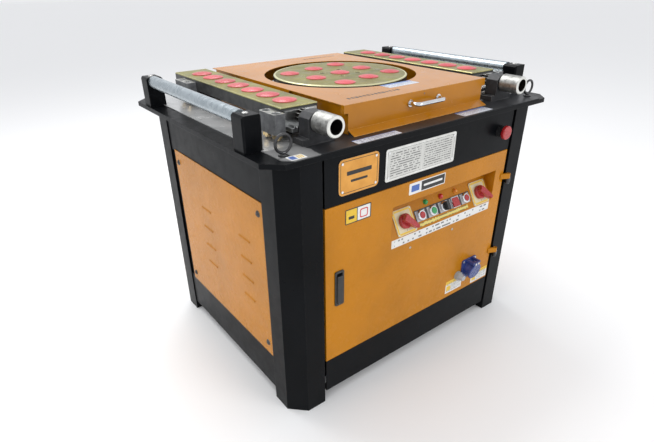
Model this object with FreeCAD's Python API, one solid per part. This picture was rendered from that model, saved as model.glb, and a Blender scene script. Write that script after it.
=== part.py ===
import FreeCAD, Part
import math
import os
from FreeCAD import Matrix, Vector

# Electric rebar bender: a steel cabinet with a chamfered post at each corner, a
# thick table, a turning disc with nine pin sockets, and a sliding pin bar and a
# feed roller on each side.  Millimetres, +Z up, standing on z = 0, +X to the right
# along the door side and +Y towards the back.  The origin is on the floor under the
# middle of the cabinet, which is also the middle of the whole machine's box.

# ---- driving dimensions -----------------------------------------------------
CABINET_WIDTH = 918.0
CABINET_DEPTH = 744.0
CORNER_CHAMFER = 43.0
POST_FACE = 58.0
POST_SHEET = 4.0
POST_RETURN = 26.0
GROOVE = 8.0
SKIN_SETBACK = 3.0
SHEET = 3.0
THIN_SHEET = 2.0
FOOT_HEIGHT = 34.0
FOOT_HOLE = 14.0

TABLE_WIDTH = 1006.0
TABLE_DEPTH = 796.0
TABLE_OFFSET_Y = 6.5
TABLE_CHAMFER = 40.0
TABLE_THICKNESS = 12.0
TABLE_TOP = 740.0
TABLE_UNDER = TABLE_TOP - TABLE_THICKNESS
TABLE_HOLE_RADIUS = 108.0
WEAR_SHEET = 2.0
DECK = TABLE_TOP + WEAR_SHEET

DISC_X = 5.0
DISC_Y = 17.0
DISC_RADIUS = 200.0
DISC_TOP = 812.0
DISC_THICKNESS = 35.0
DISC_BOTTOM = DISC_TOP - DISC_THICKNESS
SOCKET_PITCH = 107.0
SOCKET_TURN = 11.5
SOCKET_RADIUS = 25.0
CAP_RADIUS = 29.0
CAP_DOME = 4.5
DISC_BOLT_CIRCLE = 53.0
LIFT_HOLE_CIRCLE = 122.0

COVER_TOP = 812.0
COVER_HALF_WIDTH = 256.5
COVER_FRONT = -317.0
COVER_REAR = 352.0
COVER_HOLE_RADIUS = 227.0
COVER_WALL_INSET = 12.0
COVER_LIP = 20.0
COVER_FOOT = 24.0
COVER_HINGE_Z = DECK + 6.0
COVER_HINGE_Y = COVER_REAR + 7.0

BAR_OFFSET = 334.5
BAR_WIDTH = 102.0
BAR_FRONT = -250.0
BAR_REAR = 345.0
BAR_TOP = 814.0
BAR_THICKNESS = 32.0
BAR_BOTTOM = BAR_TOP - BAR_THICKNESS
BAR_SOCKET_PITCH = 75.5
BAR_SOCKET_MIDDLE = 37.0
BAR_SOCKETS = 7
LUG_WIDTH = 29.0
LUG_BOTTOM = 760.0
LUG_TOP = 806.0
LUG_HOLE = 8.0
FRONT_LUG = (-268.0, -203.0)
REAR_LUG = (196.0, 280.0)
SLIDE_BLOCK_DEPTH = 70.0
SLIDE_BLOCK_CENTRES = (-192.0, 285.0)

SLEEVE_Z = 791.0
SLEEVE_RADIUS = 24.5
SLEEVE_BORE = 17.0
SLEEVE_FRONT = -386.0
SLEEVE_LENGTH = 61.0
SLEEVE_BORE_DEPTH = 52.0
JOURNAL_RADIUS = 11.0
HOUSING_REAR = -285.0
RACK_MODULE = 2.5
RACK_PINION_TEETH = 12
RACK_HALF_LENGTH = 44.0

ROLLER_X = 477.0
ROLLER_Z = 808.0
ROLLER_RADIUS = 16.85
ROLLER_WALL = 3.25
ROLLER_FRONT = -240.0
ROLLER_REAR = 264.0
AXLE_RADIUS = 8.0
BRACKET_WIDTH = 47.0
BRACKET_DEPTH = 47.0
BRACKET_TOP = 821.0

DOOR_LEFT = -350.0
DOOR_RIGHT = 349.0
DOOR_BOTTOM = 142.0
DOOR_TOP = 599.0
DOOR_RETURN = 18.0
HINGE_X = 363.0
HINGE_RADIUS = 6.0
HINGE_HEIGHT = 34.0
HINGE_CENTRES = (505.0, 240.0)

PAN_CENTRE = 89.0
PAN_HALF_WIDTH = 217.5
PAN_BOTTOM = 444.0
PAN_TOP = 541.0
PAN_TILT = 30.0
CONTROLS_CENTRE = 97.0
SWITCH_ROW = 35.0
SWITCH_PITCH = 48.0
PLATE_SIZE = 72.0
PLATE_OFFSET = 162.0
LAMP_ROW = 66.0
LAMP_PITCH = 64.0

GEAR_PRESSURE_ANGLE = 25.0
OUTPUT_MODULE = 6.0
OUTPUT_TEETH = 62
PINION_TEETH = 14
SECOND_MODULE = 4.0
SECOND_TEETH = 72
BELT_PITCH = 17.0
INPUT_PULLEY_RADIUS = 110.0
MOTOR_PULLEY_RADIUS = 45.0
MOTOR_X = 205.0
GEARBOX_BOTTOM = 505.0
GEARBOX_WALL = 12.0

# ---- values that follow from them --------------------------------------------
HALF_W = CABINET_WIDTH / 2
HALF_D = CABINET_DEPTH / 2
SKIN_Y = -(HALF_D - SKIN_SETBACK)
SKIN_X = HALF_W - SKIN_SETBACK
POST_EDGE_X = HALF_W - CORNER_CHAMFER - POST_FACE
POST_EDGE_Y = HALF_D - CORNER_CHAMFER - POST_FACE
OUTPUT_RADIUS = OUTPUT_MODULE * OUTPUT_TEETH / 2
OUTPUT_PINION_RADIUS = OUTPUT_MODULE * PINION_TEETH / 2
SECOND_RADIUS = SECOND_MODULE * SECOND_TEETH / 2
SECOND_PINION_RADIUS = SECOND_MODULE * PINION_TEETH / 2
COUNTER_X = DISC_X - OUTPUT_RADIUS - OUTPUT_PINION_RADIUS
COUNTER_Y = DISC_Y
INPUT_X = COUNTER_X
INPUT_Y = COUNTER_Y + SECOND_RADIUS + SECOND_PINION_RADIUS
BELT_Z = 470.0
BELT_GROOVES = 3
PULLEY_HALF_HEIGHT = BELT_GROOVES * BELT_PITCH / 2 + 2.0
SLEEVE_REAR = SLEEVE_FRONT + SLEEVE_LENGTH
RACK_PINION_RADIUS = RACK_MODULE * RACK_PINION_TEETH / 2
RACK_PITCH_LINE = SLEEVE_Z - RACK_PINION_RADIUS
X_AXIS = Vector(1, 0, 0)
Y_AXIS = Vector(0, 1, 0)
Z_AXIS = Vector(0, 0, 1)
SIDES = (("left", -1), ("right", 1))

PARTS = {}


# ---- shape helpers -------------------------------------------------------------
def block(x0, x1, y0, y1, z0, z1):
    """A box between two corners."""
    return Part.makeBox(x1 - x0, y1 - y0, z1 - z0, Vector(x0, y0, z0))


def rod(radius, length, x, y, z, axis=Z_AXIS):
    """A solid cylinder that starts at (x, y, z) and runs along axis."""
    return Part.makeCylinder(radius, length, Vector(x, y, z), axis)


def ring(outer, inner, length, x, y, z, axis=Z_AXIS):
    """A plain tube."""
    start = Vector(x, y, z) - axis * 1.0
    hole = Part.makeCylinder(inner, length + 2, start, axis)
    return rod(outer, length, x, y, z, axis).cut(hole)


def prism(points, direction):
    """A closed outline of 3-D points, pushed along direction."""
    corners = [Vector(*p) for p in points]
    wire = Part.makePolygon(corners + [corners[0]])
    return Part.Face(wire).extrude(Vector(*direction))


def plan_prism(points, z0, z1):
    """An outline in plan, raised from z0 to z1."""
    return prism([(x, y, z0) for x, y in points], (0, 0, z1 - z0))


def profile_prism(points, x0, x1):
    """An outline in the YZ plane, pushed along X."""
    return prism([(x0, y, z) for y, z in points], (x1 - x0, 0, 0))


def join(shapes):
    """One solid from several that touch or overlap."""
    first = shapes[0]
    return first.fuse(shapes[1:]).removeSplitter()


def cut_all(shape, tools):
    """The shape with every tool taken out of it."""
    return shape.cut(tools) if tools else shape


def group(shapes):
    """Separate solids of the same kind, kept together in one node."""
    solids = []
    for shape in shapes:
        solids.extend(shape.Solids)
    return Part.makeCompound(solids)


def mirror_x(shape, middle=0.0):
    """The mirror image across the plane x = middle."""
    return shape.mirror(Vector(middle, 0, 0), X_AXIS)


def rounded(shape, radius, chooser):
    """Fillets the edges that chooser picks."""
    edges = [edge for edge in shape.Edges if chooser(edge)]
    return shape.makeFillet(radius, edges)


def bevelled(shape, size, chooser):
    """Chamfers the edges that chooser picks."""
    edges = [edge for edge in shape.Edges if chooser(edge)]
    return shape.makeChamfer(size, edges)


def is_along(edge, axis):
    """True for a straight edge parallel to axis."""
    if edge.Curve.TypeId != "Part::GeomLine":
        return False
    return abs(edge.tangentAt(edge.FirstParameter).dot(axis)) > 0.999


def is_circle_at(edge, value, radius, axis="z"):
    """True for a full circle of this radius at this height along an axis."""
    if edge.Curve.TypeId != "Part::GeomCircle":
        return False
    centre = edge.Curve.Center
    return abs(getattr(centre, axis) - value) < 0.01 and abs(edge.Curve.Radius - radius) < 0.01


def hexagon(across_flats, height, x, y, z):
    """A hexagon head or nut, standing on z."""
    reach = across_flats / math.sqrt(3)
    corners = []
    for i in range(6):
        angle = math.radians(60 * i)
        corners.append((x + reach * math.cos(angle), y + reach * math.sin(angle)))
    return plan_prism(corners, z, z + height)


def on_pan(shape):
    """Moves a shape from the tilted control pan's own frame to the cabinet.

    In that frame X runs along the pan, Y up its slope from the lower edge and
    Z out of it, towards the user.
    """
    tilt = math.radians(PAN_TILT)
    s, c = math.sin(tilt), math.cos(tilt)
    place = Matrix(1, 0, 0, 0, 0, s, -c, SKIN_Y, 0, c, s, PAN_BOTTOM, 0, 0, 0, 1)
    return shape.transformed(place)


# ---- gears ---------------------------------------------------------------------
def gear_outline(module, teeth, backlash, phase, centre):
    """Corner points of an involute spur gear's section, tooth by tooth."""
    pressure = math.radians(GEAR_PRESSURE_ANGLE)
    pitch_radius = module * teeth / 2
    base = pitch_radius * math.cos(pressure)
    tip = pitch_radius + module * 0.95
    root = pitch_radius - module * 1.25
    start = max(root, base)
    half = math.pi / (2 * teeth) - backlash / (2 * pitch_radius)
    half += math.tan(pressure) - pressure
    flank = []
    steps = 4
    for i in range(steps + 1):
        radius = start + (tip - start) * i / steps
        roll = math.acos(min(1.0, base / radius))
        flank.append((radius, half - math.tan(roll) + roll))
    if root < base:
        flank.insert(0, (root, flank[0][1]))
    points = []
    for tooth in range(teeth):
        middle = phase + 2 * math.pi * tooth / teeth
        points += [(r, middle - a) for r, a in flank]
        points += [(r, middle + a) for r, a in reversed(flank)]
    return [(centre[0] + r * math.cos(a), centre[1] + r * math.sin(a)) for r, a in points]


def spur_gear(module, teeth, phase, centre, z0, z1, backlash=0.5):
    """A spur gear that stands on end, with no bore."""
    return plan_prism(gear_outline(module, teeth, backlash, phase, centre), z0, z1)


def v_pulley(radius, x, y, bore):
    """A pulley with one V groove for each belt."""
    height = 2 * PULLEY_HALF_HEIGHT
    body = rod(radius + 4, height, x, y, BELT_Z - PULLEY_HALF_HEIGHT)
    grooves = []
    for i in range(BELT_GROOVES):
        z = BELT_Z + (i - (BELT_GROOVES - 1) / 2) * BELT_PITCH
        outline = [(radius - 12, z - 4), (radius + 5, z - 7.2), (radius + 5, z + 7.2), (radius - 12, z + 4)]
        section = Part.Face(Part.makePolygon([Vector(x + r, y, h) for r, h in outline + outline[:1]]))
        grooves.append(section.revolve(Vector(x, y, 0), Z_AXIS, 360))
    grooves.append(rod(bore, height + 2, x, y, BELT_Z - PULLEY_HALF_HEIGHT - 1))
    return cut_all(body, grooves)


# ---- cabinet -------------------------------------------------------------------
def corner_post():
    """Front left post: a folded section that is also the foot, with its foot plate."""
    t = POST_SHEET
    lean = t * math.tan(math.radians(22.5))
    chamfer_x = -(HALF_W - CORNER_CHAMFER)
    chamfer_y = -(HALF_D - CORNER_CHAMFER)
    outer = [
        (-POST_EDGE_X, -HALF_D + POST_RETURN),
        (-POST_EDGE_X, -HALF_D),
        (chamfer_x, -HALF_D),
        (-HALF_W, chamfer_y),
        (-HALF_W, -POST_EDGE_Y),
        (-HALF_W + POST_RETURN, -POST_EDGE_Y),
    ]
    inner = [
        (-HALF_W + POST_RETURN, -POST_EDGE_Y - t),
        (-HALF_W + t, -POST_EDGE_Y - t),
        (-HALF_W + t, chamfer_y + lean),
        (chamfer_x + lean, -HALF_D + t),
        (-POST_EDGE_X - t, -HALF_D + t),
        (-POST_EDGE_X - t, -HALF_D + POST_RETURN),
    ]
    shell = plan_prism(outer + inner, 0, TABLE_UNDER)
    plate_thickness = 6.0
    plate_outline = [
        (-POST_EDGE_X, -HALF_D),
        (chamfer_x, -HALF_D),
        (-HALF_W, chamfer_y),
        (-HALF_W, -POST_EDGE_Y),
        (-POST_EDGE_X, -POST_EDGE_Y),
    ]
    plate = plan_prism(plate_outline, 0, plate_thickness)
    hole = rod(FOOT_HOLE / 2, plate_thickness + 2, -ANCHOR_X, -ANCHOR_Y, -1)
    return join([shell, plate]).cut(hole)


ANCHOR_X = POST_EDGE_X + 30.0
ANCHOR_Y = POST_EDGE_Y + 30.0


def corner_posts():
    """All four posts."""
    post = corner_post()
    front_right = mirror_x(post)
    rear = [shape.mirror(Vector(0, 0, 0), Y_AXIS) for shape in (post, front_right)]
    return group([post, front_right] + rear)


def folded_rail(length_from, length_to, z0, z1):
    """A front rail: a flat face with a flange folded back along its top and bottom."""
    depth = 24.0
    face = block(length_from, length_to, SKIN_Y, SKIN_Y + SHEET, z0, z1)
    lower = block(length_from, length_to, SKIN_Y, SKIN_Y + depth, z0, z0 + SHEET)
    upper = block(length_from, length_to, SKIN_Y, SKIN_Y + depth, z1 - SHEET, z1)
    return join([face, lower, upper])


def front_span():
    """Half the width between the front posts, less the groove beside each."""
    return POST_EDGE_X - GROOVE


def side_rail(z0, z1):
    """A left side rail, folded like the front ones."""
    depth = 24.0
    reach = POST_EDGE_Y
    face = block(-SKIN_X, -SKIN_X + SHEET, -reach, reach, z0, z1)
    lower = block(-SKIN_X, -SKIN_X + depth, -reach + GROOVE, reach - GROOVE, z0, z0 + SHEET)
    upper = block(-SKIN_X, -SKIN_X + depth, -reach + GROOVE, reach - GROOVE, z1 - SHEET, z1)
    return join([face, lower, upper])


def front_header():
    """The band above the door, with a hole for the emergency stop."""
    rail = folded_rail(-front_span(), front_span(), DOOR_TOP + 2, TABLE_UNDER)
    hole = rod(11.3, SHEET + 2, STOP_X, SKIN_Y - 1, STOP_Z, Y_AXIS)
    return rail.cut(hole)


STOP_X = 292.0
STOP_Z = 666.0
SIDE_PANEL_BOTTOM = 155.0
SIDE_PANEL_TOP = 607.0


def back_rail(z0, z1):
    """A rail across the back, folded like the front ones."""
    return folded_rail(-front_span(), front_span(), z0, z1).mirror(Vector(0, 0, 0), Y_AXIS)


def side_frame():
    """Left rails, and the two upright strips behind the panel's edges for its bolts."""
    holes = [rod(4.1, 30, -HALF_W - 2, y, z, X_AXIS) for y, z in PANEL_BOLTS]
    inner = -SKIN_X + SHEET
    front_edges = (SIDE_PANEL_FRONT + 2, SIDE_PANEL_FRONT + 2 + STRIP_WIDTH)
    rear_edges = (SIDE_PANEL_REAR - 2 - STRIP_WIDTH, POST_EDGE_Y)
    strips = []
    for y0, y1 in (front_edges, rear_edges):
        strip = block(inner, inner + STRIP_THICKNESS, y0, y1, STRIP_BOTTOM, STRIP_TOP)
        strips.append(cut_all(strip, holes))
    rails = [side_rail(FOOT_HEIGHT, SIDE_PANEL_BOTTOM), side_rail(SIDE_PANEL_TOP, TABLE_UNDER)]
    return group([cut_all(rail, strips) for rail in rails] + strips)


def back_frame():
    """Rear rails, and the two upright strips behind the panel for its bolts."""
    inner = HALF_D - SKIN_SETBACK - SHEET
    holes = [rod(4.1, 30, x, inner - 20, z, Y_AXIS) for x, z in REAR_BOLTS]
    half = STRIP_WIDTH / 2
    strips = []
    for x in (-REAR_BOLT_X, REAR_BOLT_X):
        strip = block(x - half, x + half, inner - STRIP_THICKNESS, inner, STRIP_BOTTOM, STRIP_TOP)
        strips.append(cut_all(strip, holes))
    rails = [back_rail(FOOT_HEIGHT, SIDE_PANEL_BOTTOM), back_rail(SIDE_PANEL_TOP, TABLE_UNDER)]
    return group([cut_all(rail, strips) for rail in rails] + strips)


def frame_rails():
    """The sill under the door and the welded frames at the left, right and back."""
    sill = folded_rail(-front_span(), front_span(), FOOT_HEIGHT, DOOR_BOTTOM - 2)
    left = side_frame()
    return group([sill, left, mirror_x(left), back_frame()])


STRIP_WIDTH = 36.0
STRIP_THICKNESS = 4.0
STRIP_BOTTOM = FOOT_HEIGHT + SHEET
STRIP_TOP = TABLE_UNDER - SHEET
SIDE_PANEL_FRONT = -271.0
SIDE_PANEL_REAR = 243.0
LOUVRE_ROWS = (290.0, 351.0, 412.0, 474.0)
LOUVRE_COLUMNS = (-165.0, 60.0)
LOUVRE_LENGTH = 56.0
PANEL_BOLTS = ((-249.0, 187.0), (-249.0, 577.0), (222.0, 181.0), (222.0, 575.0))


def side_access_panel():
    """Left panel: a flat sheet with eight pressed louvres, bolted at its corners."""
    outer_face = -SKIN_X - THIN_SHEET
    sheet = block(outer_face, -SKIN_X, SIDE_PANEL_FRONT, SIDE_PANEL_REAR,
                  SIDE_PANEL_BOTTOM - 4, SIDE_PANEL_TOP + 4)
    louvres = []
    slots = []
    for y in LOUVRE_COLUMNS:
        for z in LOUVRE_ROWS:
            half = LOUVRE_LENGTH / 2
            hood = [(outer_face + 0.5, z + 6), (outer_face - 2.5, z + 1), (outer_face - 2.5, z - 0.5),
                    (outer_face + 0.5, z - 0.5)]
            louvres.append(prism([(x, y - half, h) for x, h in hood], (0, LOUVRE_LENGTH, 0)))
            slots.append(block(outer_face - 1.2, -SKIN_X + 1, y - half + 3, y + half - 3, z - 1, z + 1.6))
    panel = join([sheet] + louvres)
    holes = [rod(4.1, 12, -HALF_W - 2, y, z, X_AXIS) for y, z in PANEL_BOLTS]
    return cut_all(panel, slots + holes)


REAR_BOLT_X = 320.0
REAR_BOLTS = [(x, z) for x in (-REAR_BOLT_X, REAR_BOLT_X) for z in (180.0, 580.0)]


def rear_access_panel():
    """Back panel: a flat sheet with two rows of ventilation slots."""
    face = HALF_D - SKIN_SETBACK
    sheet = block(-front_span(), front_span(), face, face + THIN_SHEET,
                  SIDE_PANEL_BOTTOM - 4, SIDE_PANEL_TOP + 4)
    tools = [rod(4.1, 12, x, face - 4, z, Y_AXIS) for x, z in REAR_BOLTS]
    for row in range(6):
        z = 260.0 + 26.0 * row
        for x in (-150.0, 150.0):
            tools.append(block(x - 60, x + 60, face - 1, face + THIN_SHEET + 1, z, z + 6))
    return cut_all(sheet, tools)


def access_panels():
    """Left, right and rear access panels."""
    left = side_access_panel()
    return group([left, mirror_x(left), rear_access_panel()])


def dome_bolt(length):
    """A button-head bolt with its head towards -Y, its seat at the origin."""
    head_radius = 9.0
    height = 5.0
    sphere_radius = (head_radius ** 2 + height ** 2) / (2 * height)
    ball = Part.makeSphere(sphere_radius, Vector(0, sphere_radius - height, 0))
    head = ball.common(rod(head_radius, height + 1, 0, -height - 1, 0, Y_AXIS))
    socket = rod(2.8, 2.5, 0, -height - 0.5, 0, Y_AXIS)
    return head.cut(socket).fuse(rod(4.0, length, 0, -0.5, 0, Y_AXIS)).removeSplitter()


def panel_bolts():
    """Every bolt of the access panels, each with its nut inside."""
    bolts = []
    for y, z in PANEL_BOLTS:
        bolt = dome_bolt(14)
        bolt.rotate(Vector(0, 0, 0), Z_AXIS, -90)
        bolt.translate(Vector(-SKIN_X - THIN_SHEET, y, z))
        bolts.extend([bolt, mirror_x(bolt)])
    for x, z in REAR_BOLTS:
        bolt = dome_bolt(14)
        bolt.rotate(Vector(0, 0, 0), Z_AXIS, 180)
        bolt.translate(Vector(x, HALF_D - SKIN_SETBACK + THIN_SHEET, z))
        bolts.append(bolt)
    return group(bolts)


def base_frame():
    """Floor tray on two channels, which carries the motor."""
    reach_x = POST_EDGE_X + 30
    reach_y = SKIN_Y + 26
    tray = block(-reach_x, reach_x, reach_y, -reach_y, 60, 63)
    rails = []
    for y in (MOTOR_Y - 80, MOTOR_Y + 80):
        channel = block(-reach_x, reach_x, y - 22, y + 22, 63, 108)
        hollow = block(-reach_x - 1, reach_x + 1, y - 17, y + 17, 62, 103)
        rails.append(channel.cut(hollow))
    return join([tray] + rails)


MOTOR_Y = INPUT_Y


# ---- table ---------------------------------------------------------------------
def chamfered_plate(half_x, y0, y1, chamfer, z0, z1):
    """A rectangular plate with its four corners cut off."""
    outline = [
        (-half_x + chamfer, y0), (half_x - chamfer, y0),
        (half_x, y0 + chamfer), (half_x, y1 - chamfer),
        (half_x - chamfer, y1), (-half_x + chamfer, y1),
        (-half_x, y1 - chamfer), (-half_x, y0 + chamfer),
    ]
    return plan_prism(outline, z0, z1)


def table_ends():
    """Front and rear edges of the table."""
    return (TABLE_OFFSET_Y - TABLE_DEPTH / 2, TABLE_OFFSET_Y + TABLE_DEPTH / 2)


def table_top():
    """The thick table, open in the middle for the main bearing."""
    y0, y1 = table_ends()
    plate = chamfered_plate(TABLE_WIDTH / 2, y0, y1, TABLE_CHAMFER, TABLE_UNDER, TABLE_TOP)
    tools = [rod(TABLE_HOLE_RADIUS, TABLE_THICKNESS + 2, DISC_X, DISC_Y, TABLE_UNDER - 1)]
    for x, y in EYE_PLACES:
        tools.append(rod(5.05, TABLE_THICKNESS + 2, x, y, TABLE_UNDER - 1))
    return cut_all(plate, tools)


def table_wear_sheet():
    """Bright ground sheet on the table, as wide as the cabinet."""
    y0, y1 = table_ends()
    sheet = chamfered_plate(HALF_W, y0 + 3, y1 - 3, 20.0, TABLE_TOP, DECK)
    tools = [rod(TABLE_HOLE_RADIUS, WEAR_SHEET + 2, DISC_X, DISC_Y, TABLE_TOP - 1)]
    for x, y in EYE_PLACES:
        tools.append(rod(12.0, WEAR_SHEET + 2, x, y, TABLE_TOP - 1))
    return cut_all(sheet, tools)


EYE_X = 439.0
EYE_PLACES = [(x, y) for x in (-EYE_X, EYE_X) for y in (-347.0, 361.0)]
EYE_RADIUS = 19.5
EYE_ROD = 3.2


def lifting_eyes():
    """Four eye bolts near the table's corners, their rings facing front and back."""
    eyes = []
    for x, y in EYE_PLACES:
        loop = Part.makeTorus(EYE_RADIUS, EYE_ROD, Vector(x, y, TABLE_TOP + 9 + EYE_RADIUS), Y_AXIS)
        collar = rod(9.0, 5.0, x, y, TABLE_TOP)
        neck = rod(5.0, 6.0, x, y, TABLE_TOP + 4)
        shank = rod(5.0, TABLE_THICKNESS, x, y, TABLE_UNDER)
        eyes.append(join([loop, collar, neck, shank]))
    return group(eyes)


def roller_bracket():
    """Left front block that carries one end of the feed roller."""
    middle = -ROLLER_X + 2
    y1 = ROLLER_FRONT - 1
    y0 = y1 - BRACKET_DEPTH
    body = block(middle - BRACKET_WIDTH / 2, middle + BRACKET_WIDTH / 2, y0, y1, TABLE_TOP, BRACKET_TOP)
    upright = bevelled(body, 4.0, lambda edge: is_along(edge, Z_AXIS) and edge.CenterOfMass.y < y0 + 1)
    crest = BRACKET_TOP - 1
    top = bevelled(upright, 5.0, lambda edge: is_along(edge, Y_AXIS) and edge.CenterOfMass.z > crest)
    bore = rod(AXLE_RADIUS + 0.06, 34, -ROLLER_X, y1 - 33, ROLLER_Z, Y_AXIS)
    grub = rod(4.0, 6, -ROLLER_X, y0 + BRACKET_DEPTH / 2, BRACKET_TOP - 5)
    step = block(-HALF_W - 0.3, -HALF_W + BRACKET_WIDTH, y0 - 1, y1 + 1, TABLE_TOP - 1, DECK)
    return cut_all(top, [bore, grub, step])


def roller_brackets():
    """The four roller blocks: front and rear on each side."""
    front = roller_bracket()
    middle = (ROLLER_FRONT + ROLLER_REAR) / 2
    rear = front.mirror(Vector(0, middle, 0), Y_AXIS)
    return group([front, rear, mirror_x(front), mirror_x(rear)])


def roller(side):
    """A galvanised tube with plugged ends that turn on stub axles."""
    x = side * ROLLER_X
    length = ROLLER_REAR - ROLLER_FRONT
    tube = ring(ROLLER_RADIUS, ROLLER_RADIUS - ROLLER_WALL, length, x, ROLLER_FRONT, ROLLER_Z, Y_AXIS)
    plugs = []
    for y in (ROLLER_FRONT + 2, ROLLER_REAR - 14):
        plugs.append(rod(ROLLER_RADIUS - ROLLER_WALL + 0.1, 12, x, y, ROLLER_Z, Y_AXIS))
    reach = 28.0
    plugs.append(rod(AXLE_RADIUS, reach + 4, x, ROLLER_FRONT - reach, ROLLER_Z, Y_AXIS))
    plugs.append(rod(AXLE_RADIUS, reach + 4, x, ROLLER_REAR - 4, ROLLER_Z, Y_AXIS))
    return join([tube] + plugs)


# ---- pin bars and their adjusters -------------------------------------------------
def bar_middle(side):
    """Centre line of a pin bar."""
    return DISC_X + side * BAR_OFFSET


def bar_sockets():
    """Places of the sockets along a bar."""
    half = (BAR_SOCKETS - 1) / 2
    return [BAR_SOCKET_MIDDLE + (i - half) * BAR_SOCKET_PITCH for i in range(BAR_SOCKETS)]


KEY_WIDTH = 20.0
KEY_HEIGHT = 6.0
RUNNING_GAP = 0.15


def pin_bar(side):
    """A heavy bar with a row of pin sockets and two keyways across its underside."""
    x = bar_middle(side)
    half = BAR_WIDTH / 2
    bar = block(x - half, x + half, BAR_FRONT, BAR_REAR, BAR_BOTTOM, BAR_TOP)
    bar = bevelled(bar, 1.5, lambda edge: edge.CenterOfMass.z > BAR_TOP - 0.1)
    tools = [rod(SOCKET_RADIUS, BAR_THICKNESS + 2, x, y, BAR_BOTTOM - 1) for y in bar_sockets()]
    for y in SLIDE_BLOCK_CENTRES:
        reach = KEY_WIDTH / 2 + RUNNING_GAP
        tools.append(block(x - half - 1, x + half + 1, y - reach, y + reach,
                           BAR_BOTTOM - 1, BAR_BOTTOM + KEY_HEIGHT + 0.4))
    return cut_all(bar, tools)


def socket_cap(x, y, seat):
    """A red plug: a low dome with a rim, on a short stem."""
    stem = rod(SOCKET_RADIUS - 0.1, 12, x, y, seat - 12)
    rim = rod(CAP_RADIUS, 1.5, x, y, seat)
    sphere_radius = (CAP_RADIUS ** 2 + CAP_DOME ** 2) / (2 * CAP_DOME)
    ball = Part.makeSphere(sphere_radius, Vector(x, y, seat + 1.5 + CAP_DOME - sphere_radius))
    dome = ball.common(rod(CAP_RADIUS - 1, CAP_DOME + 2, x, y, seat + 1))
    return join([stem, rim, dome])


def bar_caps(side):
    """The seven caps of one bar."""
    return group([socket_cap(bar_middle(side), y, BAR_TOP) for y in bar_sockets()])


def lug_hole_places(ends):
    """Two bolt places along a lug."""
    middle = (ends[0] + ends[1]) / 2
    return (middle - 20.5, middle + 20.5)


def lug(side, ends):
    """A cast lug on the bar's outer face, with two upright bolt holes."""
    inner = bar_middle(side) + side * BAR_WIDTH / 2
    outer = inner + side * LUG_WIDTH
    body = block(min(inner, outer), max(inner, outer), ends[0], ends[1], LUG_BOTTOM, LUG_TOP)
    body = bevelled(body, 3.0, lambda edge: abs(edge.CenterOfMass.x - outer) < 0.1
                    and is_along(edge, Z_AXIS))
    middle = (inner + outer) / 2 + side * 1.0
    tools = []
    for y in lug_hole_places(ends):
        tools.append(rod(LUG_HOLE, LUG_TOP - LUG_BOTTOM + 2, middle, y, LUG_BOTTOM - 1))
        tools.append(Part.makeCone(LUG_HOLE, LUG_HOLE + 3, 3, Vector(middle, y, LUG_TOP - 3)))
    return cut_all(body, tools)


def clamp_stud(side, y):
    """A stud screwed up into a lug, with a hexagon collar below it."""
    x = bar_middle(side) + side * (BAR_WIDTH / 2 + LUG_WIDTH / 2 + 1)
    shank = rod(LUG_HOLE - 0.4, LUG_TOP - 18 - LUG_BOTTOM + 14, x, y, LUG_BOTTOM - 14)
    collar = hexagon(22.0, 8.0, x, y, LUG_BOTTOM - 9)
    washer = rod(12.5, 1.0, x, y, LUG_BOTTOM - 1.0)
    return join([shank, collar, washer])


def rack(side):
    """The rack that hangs from the bar's front face, with its teeth facing up."""
    middle = bar_middle(side)
    pitch = math.pi * RACK_MODULE
    slope = math.tan(math.radians(GEAR_PRESSURE_ANGLE))
    crest = RACK_PITCH_LINE + 0.95 * RACK_MODULE
    root = RACK_PITCH_LINE - 1.25 * RACK_MODULE
    half_at_pitch = pitch / 4 - 0.15
    half_crest = half_at_pitch - (crest - RACK_PITCH_LINE) * slope
    half_root = half_at_pitch + (RACK_PITCH_LINE - root) * slope
    bottom = root - 9.0
    outline = [(middle - RACK_HALF_LENGTH, bottom), (middle - RACK_HALF_LENGTH, root)]
    count = int(RACK_HALF_LENGTH / pitch - 0.5)
    for i in range(-count, count):
        x = middle + (i + 0.5) * pitch
        outline += [(x - half_root, root), (x - half_crest, crest)]
        outline += [(x + half_crest, crest), (x + half_root, root)]
    outline += [(middle + RACK_HALF_LENGTH, root), (middle + RACK_HALF_LENGTH, bottom)]
    teeth_front = HOUSING_REAR + 2
    plate_front = BAR_FRONT - 7
    teeth = prism([(x, teeth_front, z) for x, z in outline], (0, plate_front - teeth_front + 0.5, 0))
    plate = block(middle - RACK_HALF_LENGTH, middle + RACK_HALF_LENGTH, plate_front, BAR_FRONT,
                  bottom, BAR_TOP - 8)
    return join([teeth, plate])


def bar_lugs(side):
    """Lugs, studs and rack of one bar."""
    pieces = [rack(side)]
    for ends in (FRONT_LUG, REAR_LUG):
        pieces.append(lug(side, ends))
        for y in lug_hole_places(ends):
            pieces.append(clamp_stud(side, y))
    return group(pieces)


SLIDE_BLOCK_INNER = 48.0
SLIDE_BLOCK_OUTER = 34.0


def slide_blocks():
    """Keyed blocks under each end of each bar, along which the bar slides."""
    blocks = []
    half_depth = SLIDE_BLOCK_DEPTH / 2
    for _, side in SIDES:
        x = bar_middle(side)
        x0, x1 = sorted((x - side * SLIDE_BLOCK_INNER, x + side * SLIDE_BLOCK_OUTER))
        for y in SLIDE_BLOCK_CENTRES:
            body = block(x0, x1, y - half_depth, y + half_depth, DECK, BAR_BOTTOM - 0.05)
            key = block(x0, x1, y - KEY_WIDTH / 2, y + KEY_WIDTH / 2,
                        BAR_BOTTOM - 0.1, BAR_BOTTOM + KEY_HEIGHT)
            blocks.append(join([body, key]))
    return group(blocks)


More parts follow.
